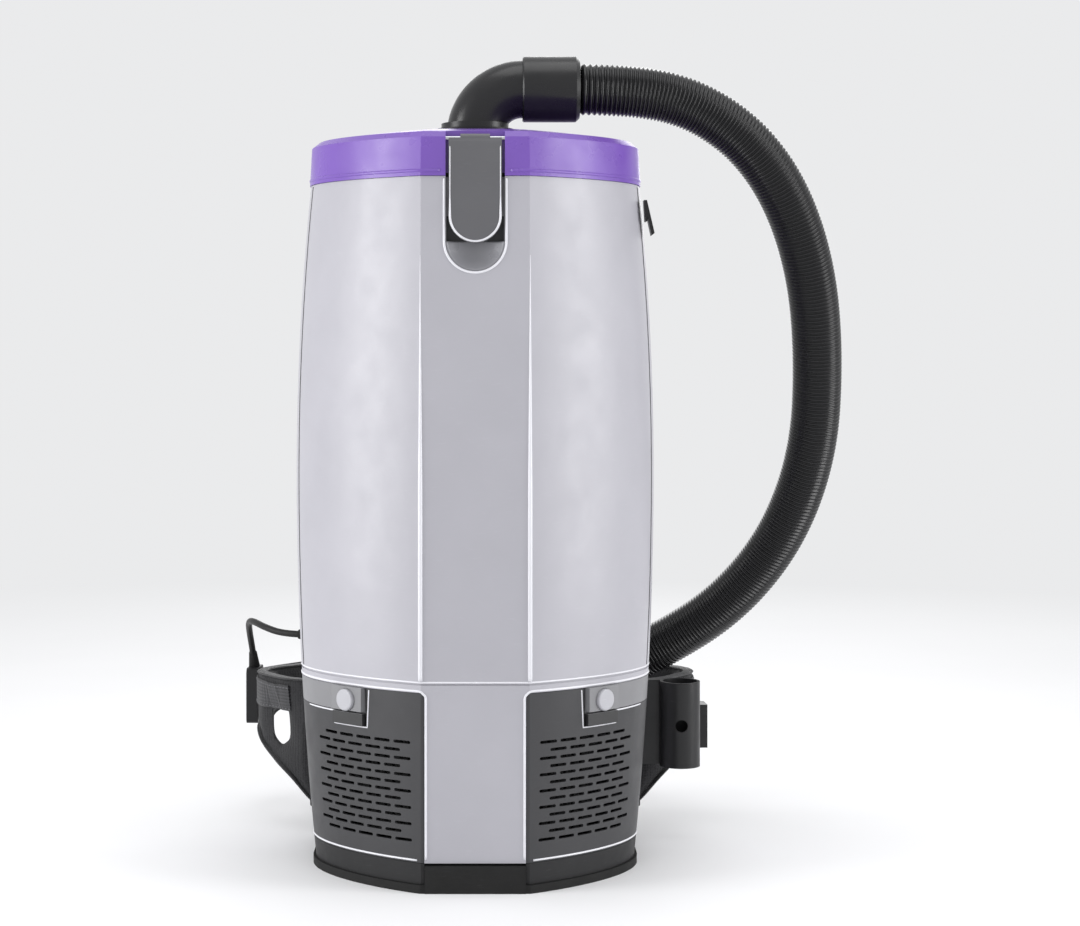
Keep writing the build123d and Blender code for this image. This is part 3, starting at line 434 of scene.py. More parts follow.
def laid_bead(name, hits, width, height, material, body="machine", scales=None):
    """Moulding along surface points, standing along their normals."""
    hits = [h for h in hits if h[0] is not None]
    points = [place for place, _ in hits]
    ups = [normal for _, normal in hits]
    return sweep(name, points, bead_profile(width, height), material, body, ups=ups, scales=scales)


# ------------------------------------------------------------------ materials
MATERIALS = {
    "casing_grey": plastic(
        "casing_grey", (0.40, 0.395, 0.432), rough=0.34, bump=0.06, drift=0.03, scuffs=0.12,
    ),
    "grille_grey": plastic("grille_grey", (0.042, 0.042, 0.045), rough=0.45, scuffs=0.15, gloss=0.35),
    "button_grey": plastic("button_grey", (0.42, 0.42, 0.45), rough=0.3, bump=0.03),
    "black_plastic": plastic("black_plastic", (0.012, 0.012, 0.013), rough=0.4, gloss=0.3),
    "base_black": plastic("base_black", (0.016, 0.016, 0.017), rough=0.5, scuffs=0.4, gloss=0.3),
    "rubber_black": plastic(
        "rubber_black", (0.014, 0.014, 0.014), rough=0.75, grain=700, bump=0.25, gloss=0.25,
    ),
    "steel": brushed("steel", (0.55, 0.56, 0.58)),
    "inner_grey": plastic("inner_grey", (0.14, 0.14, 0.15), rough=0.55),
    "bag_cloth": cloth("bag_cloth", (0.55, 0.53, 0.48), cell=1.1, sheen=0.2, gap_shade=0.25),
    "bag_card": plastic("bag_card", (0.36, 0.26, 0.16), rough=0.85, grain=500, bump=0.3, drift=0.15),
    "aluminium": brushed("aluminium", (0.72, 0.73, 0.75), rough=0.4),
    "laminations": brushed("laminations", (0.3, 0.3, 0.32), rough=0.4, stretch=(1, 1, 60)),
    "filter_foam": cloth("filter_foam", (0.02, 0.02, 0.021), cell=2.2, sheen=0.1, gap_shade=0.5),
    "lid_purple": plastic("lid_purple", (0.165, 0.078, 0.40), rough=0.3, bump=0.05, drift=0.06, scuffs=0.1),
    "elbow_black": plastic(
        "elbow_black", (0.010, 0.010, 0.011), rough=0.28, bump=0.03, scuffs=0.15, gloss=0.4,
    ),
    "hose_black": plastic("hose_black", (0.006, 0.006, 0.007), rough=0.22, bump=0.03, scuffs=0.12, gloss=0.4),
    "latch_grey": plastic("latch_grey", (0.11, 0.11, 0.118), rough=0.34, bump=0.05, scuffs=0.25, gloss=0.4),
    "plate_black": plastic("plate_black", (0.016, 0.016, 0.018), rough=0.5, scuffs=0.3, gloss=0.3),
    "pad_fabric": cloth("pad_fabric", (0.014, 0.014, 0.016), cell=2.4, sheen=0.08),
    "webbing": woven("webbing", (0.022, 0.022, 0.025)),
    "buckle_black": plastic("buckle_black", (0.012, 0.012, 0.013), rough=0.32, scuffs=0.25, gloss=0.35),
    "holder_grey": plastic("holder_grey", (0.014, 0.014, 0.015), rough=0.36, scuffs=0.25, gloss=0.35),
    "rocker_grey": plastic("rocker_grey", (0.25, 0.25, 0.27), rough=0.35),
    "cable_black": plastic("cable_black", (0.010, 0.010, 0.010), rough=0.5, grain=500, bump=0.12, gloss=0.3),
}
# Pale plastic for the thin beads along edges, seams and rims: painted highlights where rounded edges catch
# the light.
PAINTED_HIGHLIGHT = plastic("painted_highlight", (0.72, 0.72, 0.76), rough=0.22, bump=0.02, drift=0.02, scuffs=0.0)
# Mid grey for the finger scoop, darker than the casing: painted shade in the recess.
SCOOP_PAINTED_SHADE = plastic("scoop_painted_shade", (0.24, 0.24, 0.26), rough=0.28, bump=0.03, scuffs=0.1)
# Near-black plastic for the parting seals between the shells, and for the painted shadow in the latch recess.
DARK_SEAL_AND_PAINTED_SHADE = plastic("dark_seal_and_painted_shade", (0.045, 0.045, 0.05), rough=0.6, scuffs=0.0)
LINING = cloth("pad_lining", (0.03, 0.03, 0.033), cell=3.2, depth=0.7, gap_shade=0.75, sheen=0.15)
BINDING = woven("binding", (0.022, 0.022, 0.024), pitch=1.0, rib=2.0)
THREAD = plastic("thread", (0.16, 0.16, 0.17), rough=0.7, grain=3000, bump=0.3)


def catch_plastic():
    """Mid-grey band plastic whose lowest part, under the release button, is the black catch."""
    material = plastic("catch_grey", (0.20, 0.20, 0.21), rough=0.4, scuffs=0.15)
    tree = material.node_tree
    shader = tree.nodes["Principled BSDF"]
    base = shader.inputs["Base Color"].links[0].from_socket
    place = tree.nodes.new("ShaderNodeTexCoord").outputs["Object"]
    split = tree.nodes.new("ShaderNodeSeparateXYZ")
    tree.links.new(place, split.inputs["Vector"])
    above = ramp_of(tree, split.outputs["Z"], CATCH_TOP - 0.0002, CATCH_TOP + 0.0002)
    tree.links.new(mix_of(tree, above, (0.012, 0.012, 0.013), base), shader.inputs["Base Color"])
    return material


def dress_nodes():
    """Every CAD node takes the procedural material of its slot in the record."""
    for part in frame["record"]["subparts"]:
        node = NODES[part["node"]]
        material = MATERIALS[part["material_slot"]]
        if not node.material_slots:
            node.data.materials.append(material)
        for place in node.material_slots:
            place.material = material
    catch = catch_plastic()
    for name in ("grille_catch_right", "grille_catch_left"):
        for place in NODES[name].material_slots:
            place.material = catch


# ------------------------------------------------------------------ cords
HOSE_ROUTE = [
    (90, 0, 662), (144, 1, 661.5), (196, 6, 647), (241, 16, 615), (275, 34, 567), (298, 59, 503),
    (308, 88, 428), (308, 118, 346), (285, 148, 268), (238, 174, 203), (172, 197, 157), (97, 215, 122),
    (20, 228, 88), (-52, 234, 56.2),
]
HOSE_PITCH = 3.4
HOSE_CREST = 22.0
HOSE_VALLEY = 20.1
RIB_PHASES = 6            # rings of the mesh to one rib
CUFF_STRETCH = 40.0       # length near each end where the ribs open out

CABLE_ROUTE = [
    (-157.94, 83.35, 185), (-173, 88.3, 185), (-190, 101, 189), (-203, 124, 192), (-210, 152, 188),
    (-212, 180, 174), (-211, 198, 156), (-210, 204, 140.6),
]


def spline_of(name, route):
    """Smooth NURBS line with the route's points, in millimetres, as its control points."""
    data = bpy.data.curves.new(name, "CURVE")
    data.dimensions = "3D"
    spline = data.splines.new("NURBS")
    spline.points.add(len(route) - 1)
    for point, place in zip(spline.points, route):
        point.co = (*(c * MM for c in place), 1)
    spline.order_u = 3
    spline.use_endpoint_u = True
    data.resolution_u = 48
    curve = bpy.data.objects.new(name, data)
    bpy.context.scene.collection.objects.link(curve)
    return curve


def line_of(curve):
    """Points read from a curve with no bevel."""
    bpy.context.view_layer.update()
    mesh = bpy.data.meshes.new_from_object(curve)
    points = [v.co.copy() for v in mesh.vertices]
    bpy.data.meshes.remove(mesh)
    return points


def make_hose():
    """Corrugated hose: a mesh tube whose rounded ribs follow the spline's own points."""
    guide = spline_of("hose_guide", HOSE_ROUTE)
    line = line_of(guide)
    bpy.data.objects.remove(guide)
    length = length_of(line)
    points = even_points(line, HOSE_PITCH * MM / RIB_PHASES)
    step = length / (len(points) - 1) / MM
    scales, phase = [], 0.0
    for i in range(len(points)):
        near_end = min(i, len(points) - 1 - i) * step
        open_out = 1 + 0.6 * max(0.0, 1 - near_end / CUFF_STRETCH)
        crest = 0.5 - 0.5 * math.cos(math.tau * phase)
        radius = HOSE_VALLEY + (HOSE_CREST - HOSE_VALLEY) * crest ** 0.7
        scales.append(radius * MM)
        phase += step / (HOSE_PITCH * open_out)
    hose = sweep("hose_ribbed", points, circle_profile(1.0, 40), MATERIALS["hose_black"], scales=scales)
    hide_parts("hose")
    return hose, line, length


def make_cuff():
    """Straight cuff: grip collar with finger rings, cone and spigot, moulded over the hose's end."""
    start = Vector([c * MM for c in HOSE_ROUTE[-1]])
    axis = (start - Vector([c * MM for c in HOSE_ROUTE[-2]])).normalized()
    profile = [(0, 18.5), (0, 24.2), (1.2, 26), (5, 26)]
    for ring in range(4):
        first = 6.0 + 4.0 * ring
        profile += [(first, 25.1), (first + 1.6, 25.1), (first + 2.4, 26)]
    profile += [
        (24, 26), (28.5, 21.8), (31, 21.2), (76, 21.0), (77, 21.5), (86, 21.5), (89.4, 20.6), (90, 19.6),
        (90, 18.5),
    ]
    profile = rounded([(a * MM, r * MM) for a, r in profile], 0.8 * MM, 3)
    cuff = lathe("cuff_straight", start, axis, profile, MATERIALS["elbow_black"], "lid", 72)
    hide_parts("straight_cuff")
    return cuff


def make_hose_and_cuff():
    """Hose from the elbow over the right side and behind the machine, with its cuff as the far end."""
    hose, line, length = make_hose()
    cuff = make_cuff()
    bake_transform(hose)


def make_cable():
    """Switch cable from the casing's gland to the boot on the switch box."""
    cable = spline_of("switch_cable_run", CABLE_ROUTE)
    cable.data.resolution_u = 24
    line = line_of(cable)
    cable.data.bevel_depth = 0.003
    cable.data.bevel_resolution = 6
    cable.data.use_fill_caps = True
    cable.data.materials.append(MATERIALS["cable_black"])
    axis = (line[-1] - line[-4]).normalized()
    profile = [(0, 3.1), (0, 3.7), (10, 4.7), (14.5, 5.2), (15.4, 5.2), (15.4, 3.1)]
    profile = rounded([(a * MM, r * MM) for a, r in profile], 0.6 * MM, 3)
    start = line[-1] - axis * 0.014
    boot = lathe("switch_boot", start, axis, profile, MATERIALS["rubber_black"], "machine", 32)
    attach(cable, "machine")
    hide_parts("switch_cable")


# ------------------------------------------------------------------ casing lines and mouldings
SEAM_Z = 0.162
GROOVE_Z = 0.168
LINE_FOOT = 0.1715             # where the facet edges and the parting seals start, above the groove
FACET_LINE_TOP = 0.515
PARTING_TOP = 0.5775
BASE_LINE_Z = 0.0262
TONGUE_HALF = 0.041
TONGUE_FOOT = 0.020
TONGUE_CORNER = 0.007
FACET_HALF = 0.044
PART_Y = -0.008
CATCH_TOP = 0.1404
FLANK = Vector((0.106, -0.0725, 0))
FLANK_OUT = Vector((0.66, -0.751, 0)).normalized()
NOTCH_CORNERS = [(-21.5, 160.4), (-19.2, 129.4), (19.2, 129.4), (19.6, 139.6), (60, 139.6)]


def facet_beads(shell):
    """Painted highlights along the narrow edges of the front facet, fading in below the latch."""
    count = 90
    for side, name in SIDES:
        hits, scales = [], []
        for i in range(count + 1):
            z = LINE_FOOT + (FACET_LINE_TOP - LINE_FOOT) * i / count
            hits.append(from_front(shell, side * (FACET_HALF + 0.0004), z))
            scales.append(min(1.0, 0.12 + 1.6 * (1 - i / count)))
        laid_bead("facet_edge_" + name, hits, 0.0036, 0.0014, PAINTED_HIGHLIGHT, scales=scales)


def tongue_edge_highlights(shell):
    """Painted highlight round the tongue: up its side, round a small corner and along the seam to the
    parting.
    """
    inner, corner, top = TONGUE_HALF - 0.0012, TONGUE_CORNER, SEAM_Z + 0.0014
    first, last = math.atan2(inner + corner + 0.002, 0.112), math.radians(93)
    for side, name in SIDES:
        hits = []
        for i in range(40):
            z = TONGUE_FOOT + (top - corner - TONGUE_FOOT) * i / 40
            hits.append(from_front(shell, side * inner, z))
        for i in range(13):
            turn = math.pi / 2 * i / 12
            x = inner + corner * (1 - math.cos(turn))
            z = top - corner + corner * math.sin(turn)
            hits.append(from_front(shell, side * x, z))
        for i in range(60):
            turn = first + (last - first) * i / 59
            hits.append(from_round(shell, side * turn, top))
        laid_bead("tongue_edge_" + name, hits, 0.0019, 0.0008, PAINTED_HIGHLIGHT)


def round_line(name, surface, turns, z, width, height, material, body="machine"):
    """A moulding on each side at one height, over a range of whole degrees from the front."""
    for side, side_name in SIDES:
        hits = [from_round(surface, side * math.radians(turn), z) for turn in turns]
        laid_bead(name + "_" + side_name, hits, width, height, material, body)


def parting_strips(shell):
    """Dark seal between the front and rear shells."""
    for side, name in SIDES:
        hits = []
        for i in range(80):
            z = LINE_FOOT + (PARTING_TOP - LINE_FOOT) * i / 79
            start = Vector((side * 0.5, PART_Y - 0.0035, z))
            place, normal, _, _ = shell.ray_cast(start, Vector((-side, 0, 0)))
            hits.append((place, normal))
        laid_bead("parting_seal_" + name, hits, 0.0022, 0.0004, DARK_SEAL_AND_PAINTED_SHADE)


def notch_lines(surface):
    """Painted highlight round the notch of each release button and out under the grey band."""
    along = Vector((-FLANK_OUT.y, FLANK_OUT.x, 0))
    for side, name in SIDES:
        way = Vector((-FLANK_OUT.x * side, -FLANK_OUT.y, 0))
        hits = []
        for (a, low), (b, high) in zip(NOTCH_CORNERS, NOTCH_CORNERS[1:]):
            count = max(2, round(math.hypot(b - a, high - low) / 2))
            for i in range(count):
                u, z = a + (b - a) * i / count, low + (high - low) * i / count
                start = FLANK + along * (u * MM) + Vector((0, 0, z * MM)) + FLANK_OUT * 0.08
                start.x *= side
                place, normal, _, _ = surface.ray_cast(start, way)
                hits.append((place, normal))
        laid_bead("notch_line_" + name, hits, 0.0013, 0.0005, PAINTED_HIGHLIGHT)


def make_casing_lines():
    """Edges, seams and lips on the casing and the grilles: pale beads that paint highlights, and dark parting
    seals.
    """
    shell = surface_tree("front_shell", "rear_shell")
    facet_beads(shell)
    tongue_edge_highlights(shell)
    # Pale bead above the groove: painted highlight.
    round_line("groove_lip", shell, range(0, 94, 2), GROOVE_Z + 0.0024, 0.0014, 0.0005, PAINTED_HIGHLIGHT)
    parting_strips(shell)
    grilles = surface_tree("grille_right", "grille_left", "lower_rear_shell")
    # Pale bead along the grilles' lower edge: painted highlight.
    round_line("base_line", grilles, range(24, 104, 2), BASE_LINE_Z, 0.0016, 0.0006, PAINTED_HIGHLIGHT)
    notch_lines(surface_tree("grille_right", "grille_left"))


# ------------------------------------------------------------------ latch and lid
LIP_RADIUS, LIP_Z = 0.0204, 0.5467         # round end of the lever
RECESS_HALF, RECESS_Z = 0.0252, 0.526      # round end of the recess behind it
# The liner is a dark plate that paints the shadow in the latch recess.
LINER_HALF, LINER_LOW, LINER_HIGH, LINER_FACE = 0.0233, 0.5264, 0.5470, -0.0974
SCOOP_RADIUS = 0.0236
SCOOP_FLOOR, SCOOP_RISE = 0.0975, 0.0105   # how far forward its middle is, and how much more its rim
LID_LINE_Z = 0.5835


def latch_lip():
    """Painted highlight on a lip round the front lever's end, thinner up its sides."""
    lever = surface_tree("front_latch")
    side_run = [0.603 - 0.0018 * i for i in range(31)]
    hits = [from_front(lever, -LIP_RADIUS, z) for z in side_run]
    for i in range(60):
        turn = math.radians(180 + 180 * i / 59)
        hits.append(from_front(lever, LIP_RADIUS * math.cos(turn), LIP_Z + LIP_RADIUS * math.sin(turn)))
    hits += [from_front(lever, LIP_RADIUS, z) for z in side_run[::-1]]
    thin = [0.45] * 22 + [0.45 + 0.55 * i / 9 for i in range(9)]
    lips = thin + [1.0] * 60 + thin[::-1]
    lip = laid_bead("latch_lip", hits, 0.0018, 0.0007, PAINTED_HIGHLIGHT, "front_latch_lever", scales=lips)


def recess_shadow_plate():
    """Dark plate behind the gap between the lever and the scoop: painted shadow."""
    half = LINER_HALF
    outline = ((-half, LINER_LOW), (half, LINER_LOW), (half, LINER_HIGH), (-half, LINER_HIGH))
    verts = [(x, y, z) for y in (LINER_FACE, LINER_FACE + 0.0006) for x, z in outline]
    faces = [(0, 1, 2, 3), (7, 6, 5, 4), (0, 4, 5, 1), (1, 5, 6, 2), (2, 6, 7, 3), (3, 7, 4, 0)]
    add_piece("recess_shadow_liner", verts, faces, DARK_SEAL_AND_PAINTED_SHADE, "machine", smooth=False)


def recess_rim():
    """Painted highlight on a rim down both sides of the recess and round its lower end."""
    shell = surface_tree("front_shell")
    path = [(-RECESS_HALF, 0.577 - 0.0017 * i) for i in range(30)]
    for i in range(37):
        turn = math.radians(180 + 5 * i)
        path.append((RECESS_HALF * math.cos(turn), RECESS_Z + RECESS_HALF * math.sin(turn)))
    path += [(RECESS_HALF, 0.5277 + 0.0017 * i) for i in range(30)]
    laid_bead("recess_rim", [from_front(shell, x, z) for x, z in path], 0.0019, 0.0008, PAINTED_HIGHLIGHT)


def finger_scoop():
    """Dished half round below the lever, darker grey than the casing: painted shade in the recess."""
    verts, faces, rings, steps = [], [], 14, 40
    for r in range(rings + 1):
        for k in range(steps + 1):
            share, turn = r / rings, math.pi * (1 + k / steps)
            reach = SCOOP_RADIUS * share
            depth = SCOOP_FLOOR + SCOOP_RISE * share ** 2.6
            verts.append((reach * math.cos(turn), -depth, RECESS_Z + reach * math.sin(turn)))
    for r in range(rings):
        for k in range(steps):
            a = r * (steps + 1) + k
            faces.append((a, a + steps + 1, a + steps + 2, a + 1))
    scoop = add_piece("finger_scoop", verts, faces, SCOOP_PAINTED_SHADE, "machine")
    scoop.modifiers.new("skin", "SOLIDIFY").thickness = 0.0004


def make_latch_and_lid_lines():
    latch_lip()
    recess_shadow_plate()
    recess_rim()
    finger_scoop()
    lid = surface_tree("lid")
    round_line("lid_bead", lid, range(15, 171, 2), LID_LINE_Z, 0.0026, 0.0007, MATERIALS["lid_purple"], "lid")


# ------------------------------------------------------------------ padded harness
STRAP_LINE = [
    (116.5, 395), (116.5, 505), (154.5, 562), (208.5, 545), (234.5, 470), (228.5, 395), (208.5, 330),
]
STRAP_X = 72.0
HIP_LINE = [(72, 116.4), (168, 116.4), (200, 165), (196, 235), (146, 288)]
TURN_RADIUS = 38.0
STRAP_PLANE, CUSHION_PLANE, HIP_PLANE = 0.1108, 0.1104, 0.1106     # where each pad rests on the backplate
PAD_SHRINK, PAD_VOXEL, PAD_PRESSURE = 2.0, 5.0, 4.0
STITCH_LENGTH, STITCH_GAP, STITCH_RADIUS, STITCH_INSET = 2.6, 1.7, 0.36, 2.2
CUSHION_BORDER = 8.5
CUSHIONS = (       # name, node, half width, low, high, corner, heights of the channels, movement cap
    ("lumbar_cushion", "lumbar_pad", 74, 147, 233, 22, (176, 204), 4.5),
    ("upper_cushion", "upper_pad", 37, 255, 445, 20, (303, 350, 397), 4.0),
)
LEVEL, UPRIGHT = Vector((1, 0, 0)), Vector((0, 0, 1))


def strap_line(corners, radius, step=4.0):
    """Run of a strap: straight between its corners, with a round turn at each, as even points."""
    corners = [Vector(c) for c in corners]
    out = [corners[0]]
    for before, corner, after in zip(corners, corners[1:], corners[2:]):
        a, b = (before - corner).normalized(), (after - corner).normalized()
        half_turn = (math.pi - a.angle(b)) / 2
        reach = radius * math.tan(half_turn)
        first, last = corner + a * reach, corner + b * reach
        centre = corner + (a + b).normalized() * (radius / math.cos(half_turn))
        for k in range(9):
            spoke = first.lerp(last, k / 8) - centre
            out.append(centre + spoke.normalized() * radius)
    out.append(corners[-1])
    return even_points(out, step)


def baked_mesh(piece):
    """Replaces a piece's mesh with its modified form and clears the modifiers."""
    graph = bpy.context.evaluated_depsgraph_get()
    mesh = bpy.data.meshes.new_from_object(piece.evaluated_get(graph))
    piece.modifiers.clear()
    piece.data = mesh
    return mesh


def puffed(name, node, material, cap, plane):
    """Stuffed copy of a CAD pad: remeshed, swollen by a short, capped cloth run, then subdivided."""
    piece = bpy.data.objects.new(name, NODES[node].data.copy())
    bpy.context.scene.collection.objects.link(piece)
    remesh = piece.modifiers.new("remesh", "REMESH")
    remesh.mode = "VOXEL"
    remesh.voxel_size = PAD_VOXEL * MM
    mesh = baked_mesh(piece)
    for vertex, normal in zip(mesh.vertices, [n.vector.copy() for n in mesh.vertex_normals]):
        vertex.co -= normal * PAD_SHRINK * MM
    rest = [v.co.copy() for v in mesh.vertices]
    swell(piece)
    mesh = baked_mesh(piece)
    for vertex, old in zip(mesh.vertices, rest):
        moved = vertex.co - old
        if moved.length > cap * MM:
            vertex.co = old + moved.normalized() * cap * MM
    smooth = piece.modifiers.new("soften", "SMOOTH")
    smooth.iterations = 3
    smooth.factor = 0.5
    finer = piece.modifiers.new("finer", "SUBSURF")
    finer.levels = finer.render_levels = 1
    mesh = baked_mesh(piece)
    for vertex in mesh.vertices:
        vertex.co.y = max(vertex.co.y, plane)
    mesh.materials.clear()
    mesh.materials.append(material)
    mesh.polygons.foreach_set("use_smooth", [True] * len(mesh.polygons))
    return piece


def swell(piece):
    """Runs Blender's cloth on the piece for twenty frames, blown up from inside and with no gravity."""
    run = piece.modifiers.new("cloth", "CLOTH")
    run.settings.quality = 5
    run.settings.mass = 0.2
    run.settings.use_pressure = True
    run.settings.uniform_pressure_force = PAD_PRESSURE
    run.settings.effector_weights.gravity = 0
    run.point_cache.frame_start, run.point_cache.frame_end = 1, 20
    for number in range(1, 21):
        bpy.context.scene.frame_set(number)


def pressed(piece, depth_at):
    """Sinks each point along its normal by what depth_at gives for its place, in millimetres."""
    mesh = piece.data
    normals = [n.vector.copy() for n in mesh.vertex_normals]
    for vertex, normal in zip(mesh.vertices, normals):
        depth = depth_at(vertex.co / MM, normal)
        if depth:
            vertex.co -= normal * depth * MM
    mesh.update()


def dip(distance, width, depth):
    return depth * math.exp(-((distance / width) ** 2))


def cast_in(tree, place, way, reach=0.04):
    """First point met when coming in from outside along -way towards place."""
    hit, normal, _, _ = tree.ray_cast(place + way * reach, -way, reach * 1.6)
    return (hit, normal) if hit else (None, None)


def stitch_row(name, places, ups):
    """Row of short thread stitches lying along a line."""
    line = even_points(places, (STITCH_LENGTH + STITCH_GAP) * MM)
    verts, faces = [], []
    for a, b in zip(line, line[1:]):
        way = (b - a).normalized()
        up = ups[min(range(len(places)), key=lambda i: (places[i] - a).length_squared)]
        side = way.cross(up).normalized()
        start, end = a + up * 0.15 * MM, a + way * STITCH_LENGTH * MM + up * 0.15 * MM
        first = len(verts)
        for share, fat in ((0.0, 0.35), (0.2, 1.0), (0.8, 1.0), (1.0, 0.35)):
            centre = start.lerp(end, share)
            for k in range(6):
                turn = math.tau * k / 6
                offset = side * math.cos(turn) + up * math.sin(turn)
                verts.append(centre + offset * STITCH_RADIUS * fat * MM)
        for ring in range(3):
            for k in range(6):
                j = (k + 1) % 6
                low, high = first + ring * 6, first + ring * 6 + 6
                faces.append((low + k, low + j, high + j, high + k))
        faces.append(tuple(first + k for k in range(6))[::-1])
        faces.append(tuple(first + 18 + k for k in range(6)))
    return add_piece(name, verts, faces, THREAD, "machine")


def webbing_on(name, hits, width, thickness):
    """Flat webbing laid on surface points, with a stitch row along each edge."""
    hits = [h for h in hits if h[0] is not None]
    points = [place + normal * (thickness / 2 + 0.1) * MM for place, normal in hits]
    ups = [normal for _, normal in hits]
    strip = sweep(
        name, points, strip_profile(width * MM, thickness * MM), MATERIALS["webbing"], "machine",
        ups=ups, smooth=False,
    )
    frames = carried_frames(points, ups)
    for sign, edge in ((1, "a"), (-1, "b")):
        row = [
            p + side * sign * (width / 2 - STITCH_INSET) * MM + up * (thickness / 2) * MM
            for p, (_, side, up) in zip(points, frames)
        ]
        stitch_row(name + "_stitch_" + edge, row, ups)


def edge_binding(name, rim, way, width):
    """Bound edge of a pad: a folded tape along its rim, facing one way."""
    binding = sweep(
        name, rim, strip_profile(width * MM, 1.6 * MM, 0.0005), BINDING, "machine", ups=[way] * len(rim),
        smooth=False,
    )


def stands_for_pad(pad, node):
    """Puts a pad on the machine body and hides the CAD node whose place it takes."""
    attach(pad, "machine")
    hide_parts(node)


def strap_seams(side, line, frames):
    """Depth of a shoulder strap's edge seams and sewn cross channels at a place."""
    channels = [(line[i], frames[i][0]) for i in range(18, len(line), 16)]

    def depth_at(place, normal):
        if abs(normal.x) > 0.8:
            return 0.0
        depth = dip(abs(place.x - side * STRAP_X) - 25.5, 1.8, 1.1)
        for channel, tangent in channels:
            away = place * MM - channel
            if away.length < 0.036:
                depth = max(depth, dip(away.dot(tangent) / MM, 2.0, 1.0))
        return depth

    return depth_at


def make_shoulder_strap(side, name):
    """Puffed strap with bound edges, centre webbing, stitching and a loop for the sternum webbing."""
    x = side * STRAP_X * MM
    line = [Vector((x, p.x * MM, p.y * MM)) for p in strap_line(STRAP_LINE, TURN_RADIUS)]
    frames = carried_frames(line, across=LEVEL)
    pad = puffed("strap_pad_" + name, "shoulder_strap_" + name, MATERIALS["pad_fabric"], 3.5, STRAP_PLANE)
    pressed(pad, strap_seams(side, line, frames))
    stands_for_pad(pad, "shoulder_strap_" + name)
    tree = mesh_tree(pad)
    for sign, edge in ((1, "outer"), (-1, "inner")):
        way = Vector((sign, 0, 0))
        rim = []
        for p in line[2:-2]:
            hit, _ = cast_in(tree, p + way * 0.02, way)
            rim.append((hit or p + way * 0.030) + way * 0.0002)
        edge_binding(f"strap_binding_{name}_{edge}", rim, way, 9.5)
    middle = Vector((0, 0.17, 0.42))
    hits = []
    for p, (_, _, up) in list(zip(line, frames))[14:]:
        outward = up if up.dot(middle - Vector((0, p.y, p.z))) < 0 else -up
        hits.append(cast_in(tree, p, outward))
    webbing_on("strap_web_" + name, hits, 25, 1.5)
    ring = loop_round(Vector((x, 0.2322, 0.452)), 0.0335, 0.0090, 14)
    band = sweep(
        "sternum_loop_" + name, ring, strip_profile(20 * MM, 1.3 * MM), MATERIALS["webbing"], "machine",
        across=UPRIGHT, smooth=False,
    )


def loop_round(centre, half_x, half_y, corner_steps):
    """Closed level loop round a strap, as a rounded rectangle."""
    points, radius = [], 0.006
    for sx, sy, first in ((1, 1, 0), (-1, 1, 90), (-1, -1, 180), (1, -1, 270)):
        for k in range(corner_steps + 1):
            turn = math.radians(first + 90 * k / corner_steps)
            points.append(centre + Vector((
                sx * (half_x - radius) + radius * math.cos(turn),
                sy * (half_y - radius) + radius * math.sin(turn), 0,
            )))
    return points + [points[0]]


def cushion_seams(half_x, low, high, channels):
    """Depth of a back cushion's border seam and sewn channels at a place."""
    def depth_at(place, normal):
        if normal.y < 0.4:
            return 0.0
        inset = min(half_x - abs(place.x), place.z - low, high - place.z)
        depth = dip(inset - CUSHION_BORDER, 2.2, 1.8)
        if inset > CUSHION_BORDER:
            depth = max([depth] + [dip(place.z - z, 2.6, 2.6) for z in channels])
        return depth

    return depth_at


def cushion_rim(half_x, low, high, corner):
    """Closed line round a back cushion, in the plane of its piping."""
    rim = []
    centre_z = (low + high) / 2
    half_z = (high - low) / 2
    for sx, sz, first in ((1, 1, 0), (-1, 1, 90), (-1, -1, 180), (1, -1, 270)):
        for k in range(9):
            turn = math.radians(first + 90 * k / 8)
            rim.append(Vector((
                sx * (half_x - corner) + corner * math.cos(turn), 113.0,
                centre_z + sz * (half_z - corner) + corner * math.sin(turn),
            )) * MM)
    return even_points(rim + [rim[0]], 0.004)


def make_back_cushions():
    """Lumbar and upper cushions: crowned, piped round the edge, with sewn channels across."""
    for name, node, half_x, low, high, corner, channels, cap in CUSHIONS:
        pad = puffed(name, node, LINING, cap, CUSHION_PLANE)
        pressed(pad, cushion_seams(half_x, low, high, channels))
        stands_for_pad(pad, node)
        piping = sweep(
            name + "_piping", cushion_rim(half_x, low, high, corner), circle_profile(1.9 * MM, 10), BINDING,
            "machine", across=Vector((0, 1, 0)),
        )


def eased(rim, passes=8):
    """A rim's points with their heights evened out, so that a binding turns without kinks."""
    for _ in range(passes):
        heights = [p.z for p in rim]
        for i in range(1, len(rim) - 1):
            rim[i].z = (heights[i - 1] + heights[i] * 2 + heights[i + 1]) / 4
    return rim


def make_hip_pad(side, name):
    """Hip pad: puffed wing with bound edges, a belt of webbing along it and stitching."""
    line = [Vector((side * p.x, p.y, 0)) * MM for p in strap_line(HIP_LINE, TURN_RADIUS)]
    pad = puffed("hip_wing_" + name, "hip_pad_" + name, MATERIALS["pad_fabric"], 3.5, HIP_PLANE)
    stands_for_pad(pad, "hip_pad_" + name)
    tree = mesh_tree(pad)
    for way, edge in ((UPRIGHT, "top"), (-UPRIGHT, "low")):
        found = [cast_in(tree, p + UPRIGHT * 0.105, way, 0.12)[0] for p in line[1:-1]]
        rim = eased([hit for hit in found if hit])
        edge_binding(f"hip_binding_{name}_{edge}", rim, way, 10)
    hits = []
    frames = carried_frames(line, ups=[UPRIGHT] * len(line))
    for p, (_, across, _) in list(zip(line, frames))[24:-1]:
        outward = across if across.dot(p - Vector((0, 0.2, 0))) > 0 else -across
        hits.append(cast_in(tree, p + UPRIGHT * 0.122, outward))
    webbing_on("hip_web_" + name, hits, 24, 1.4)


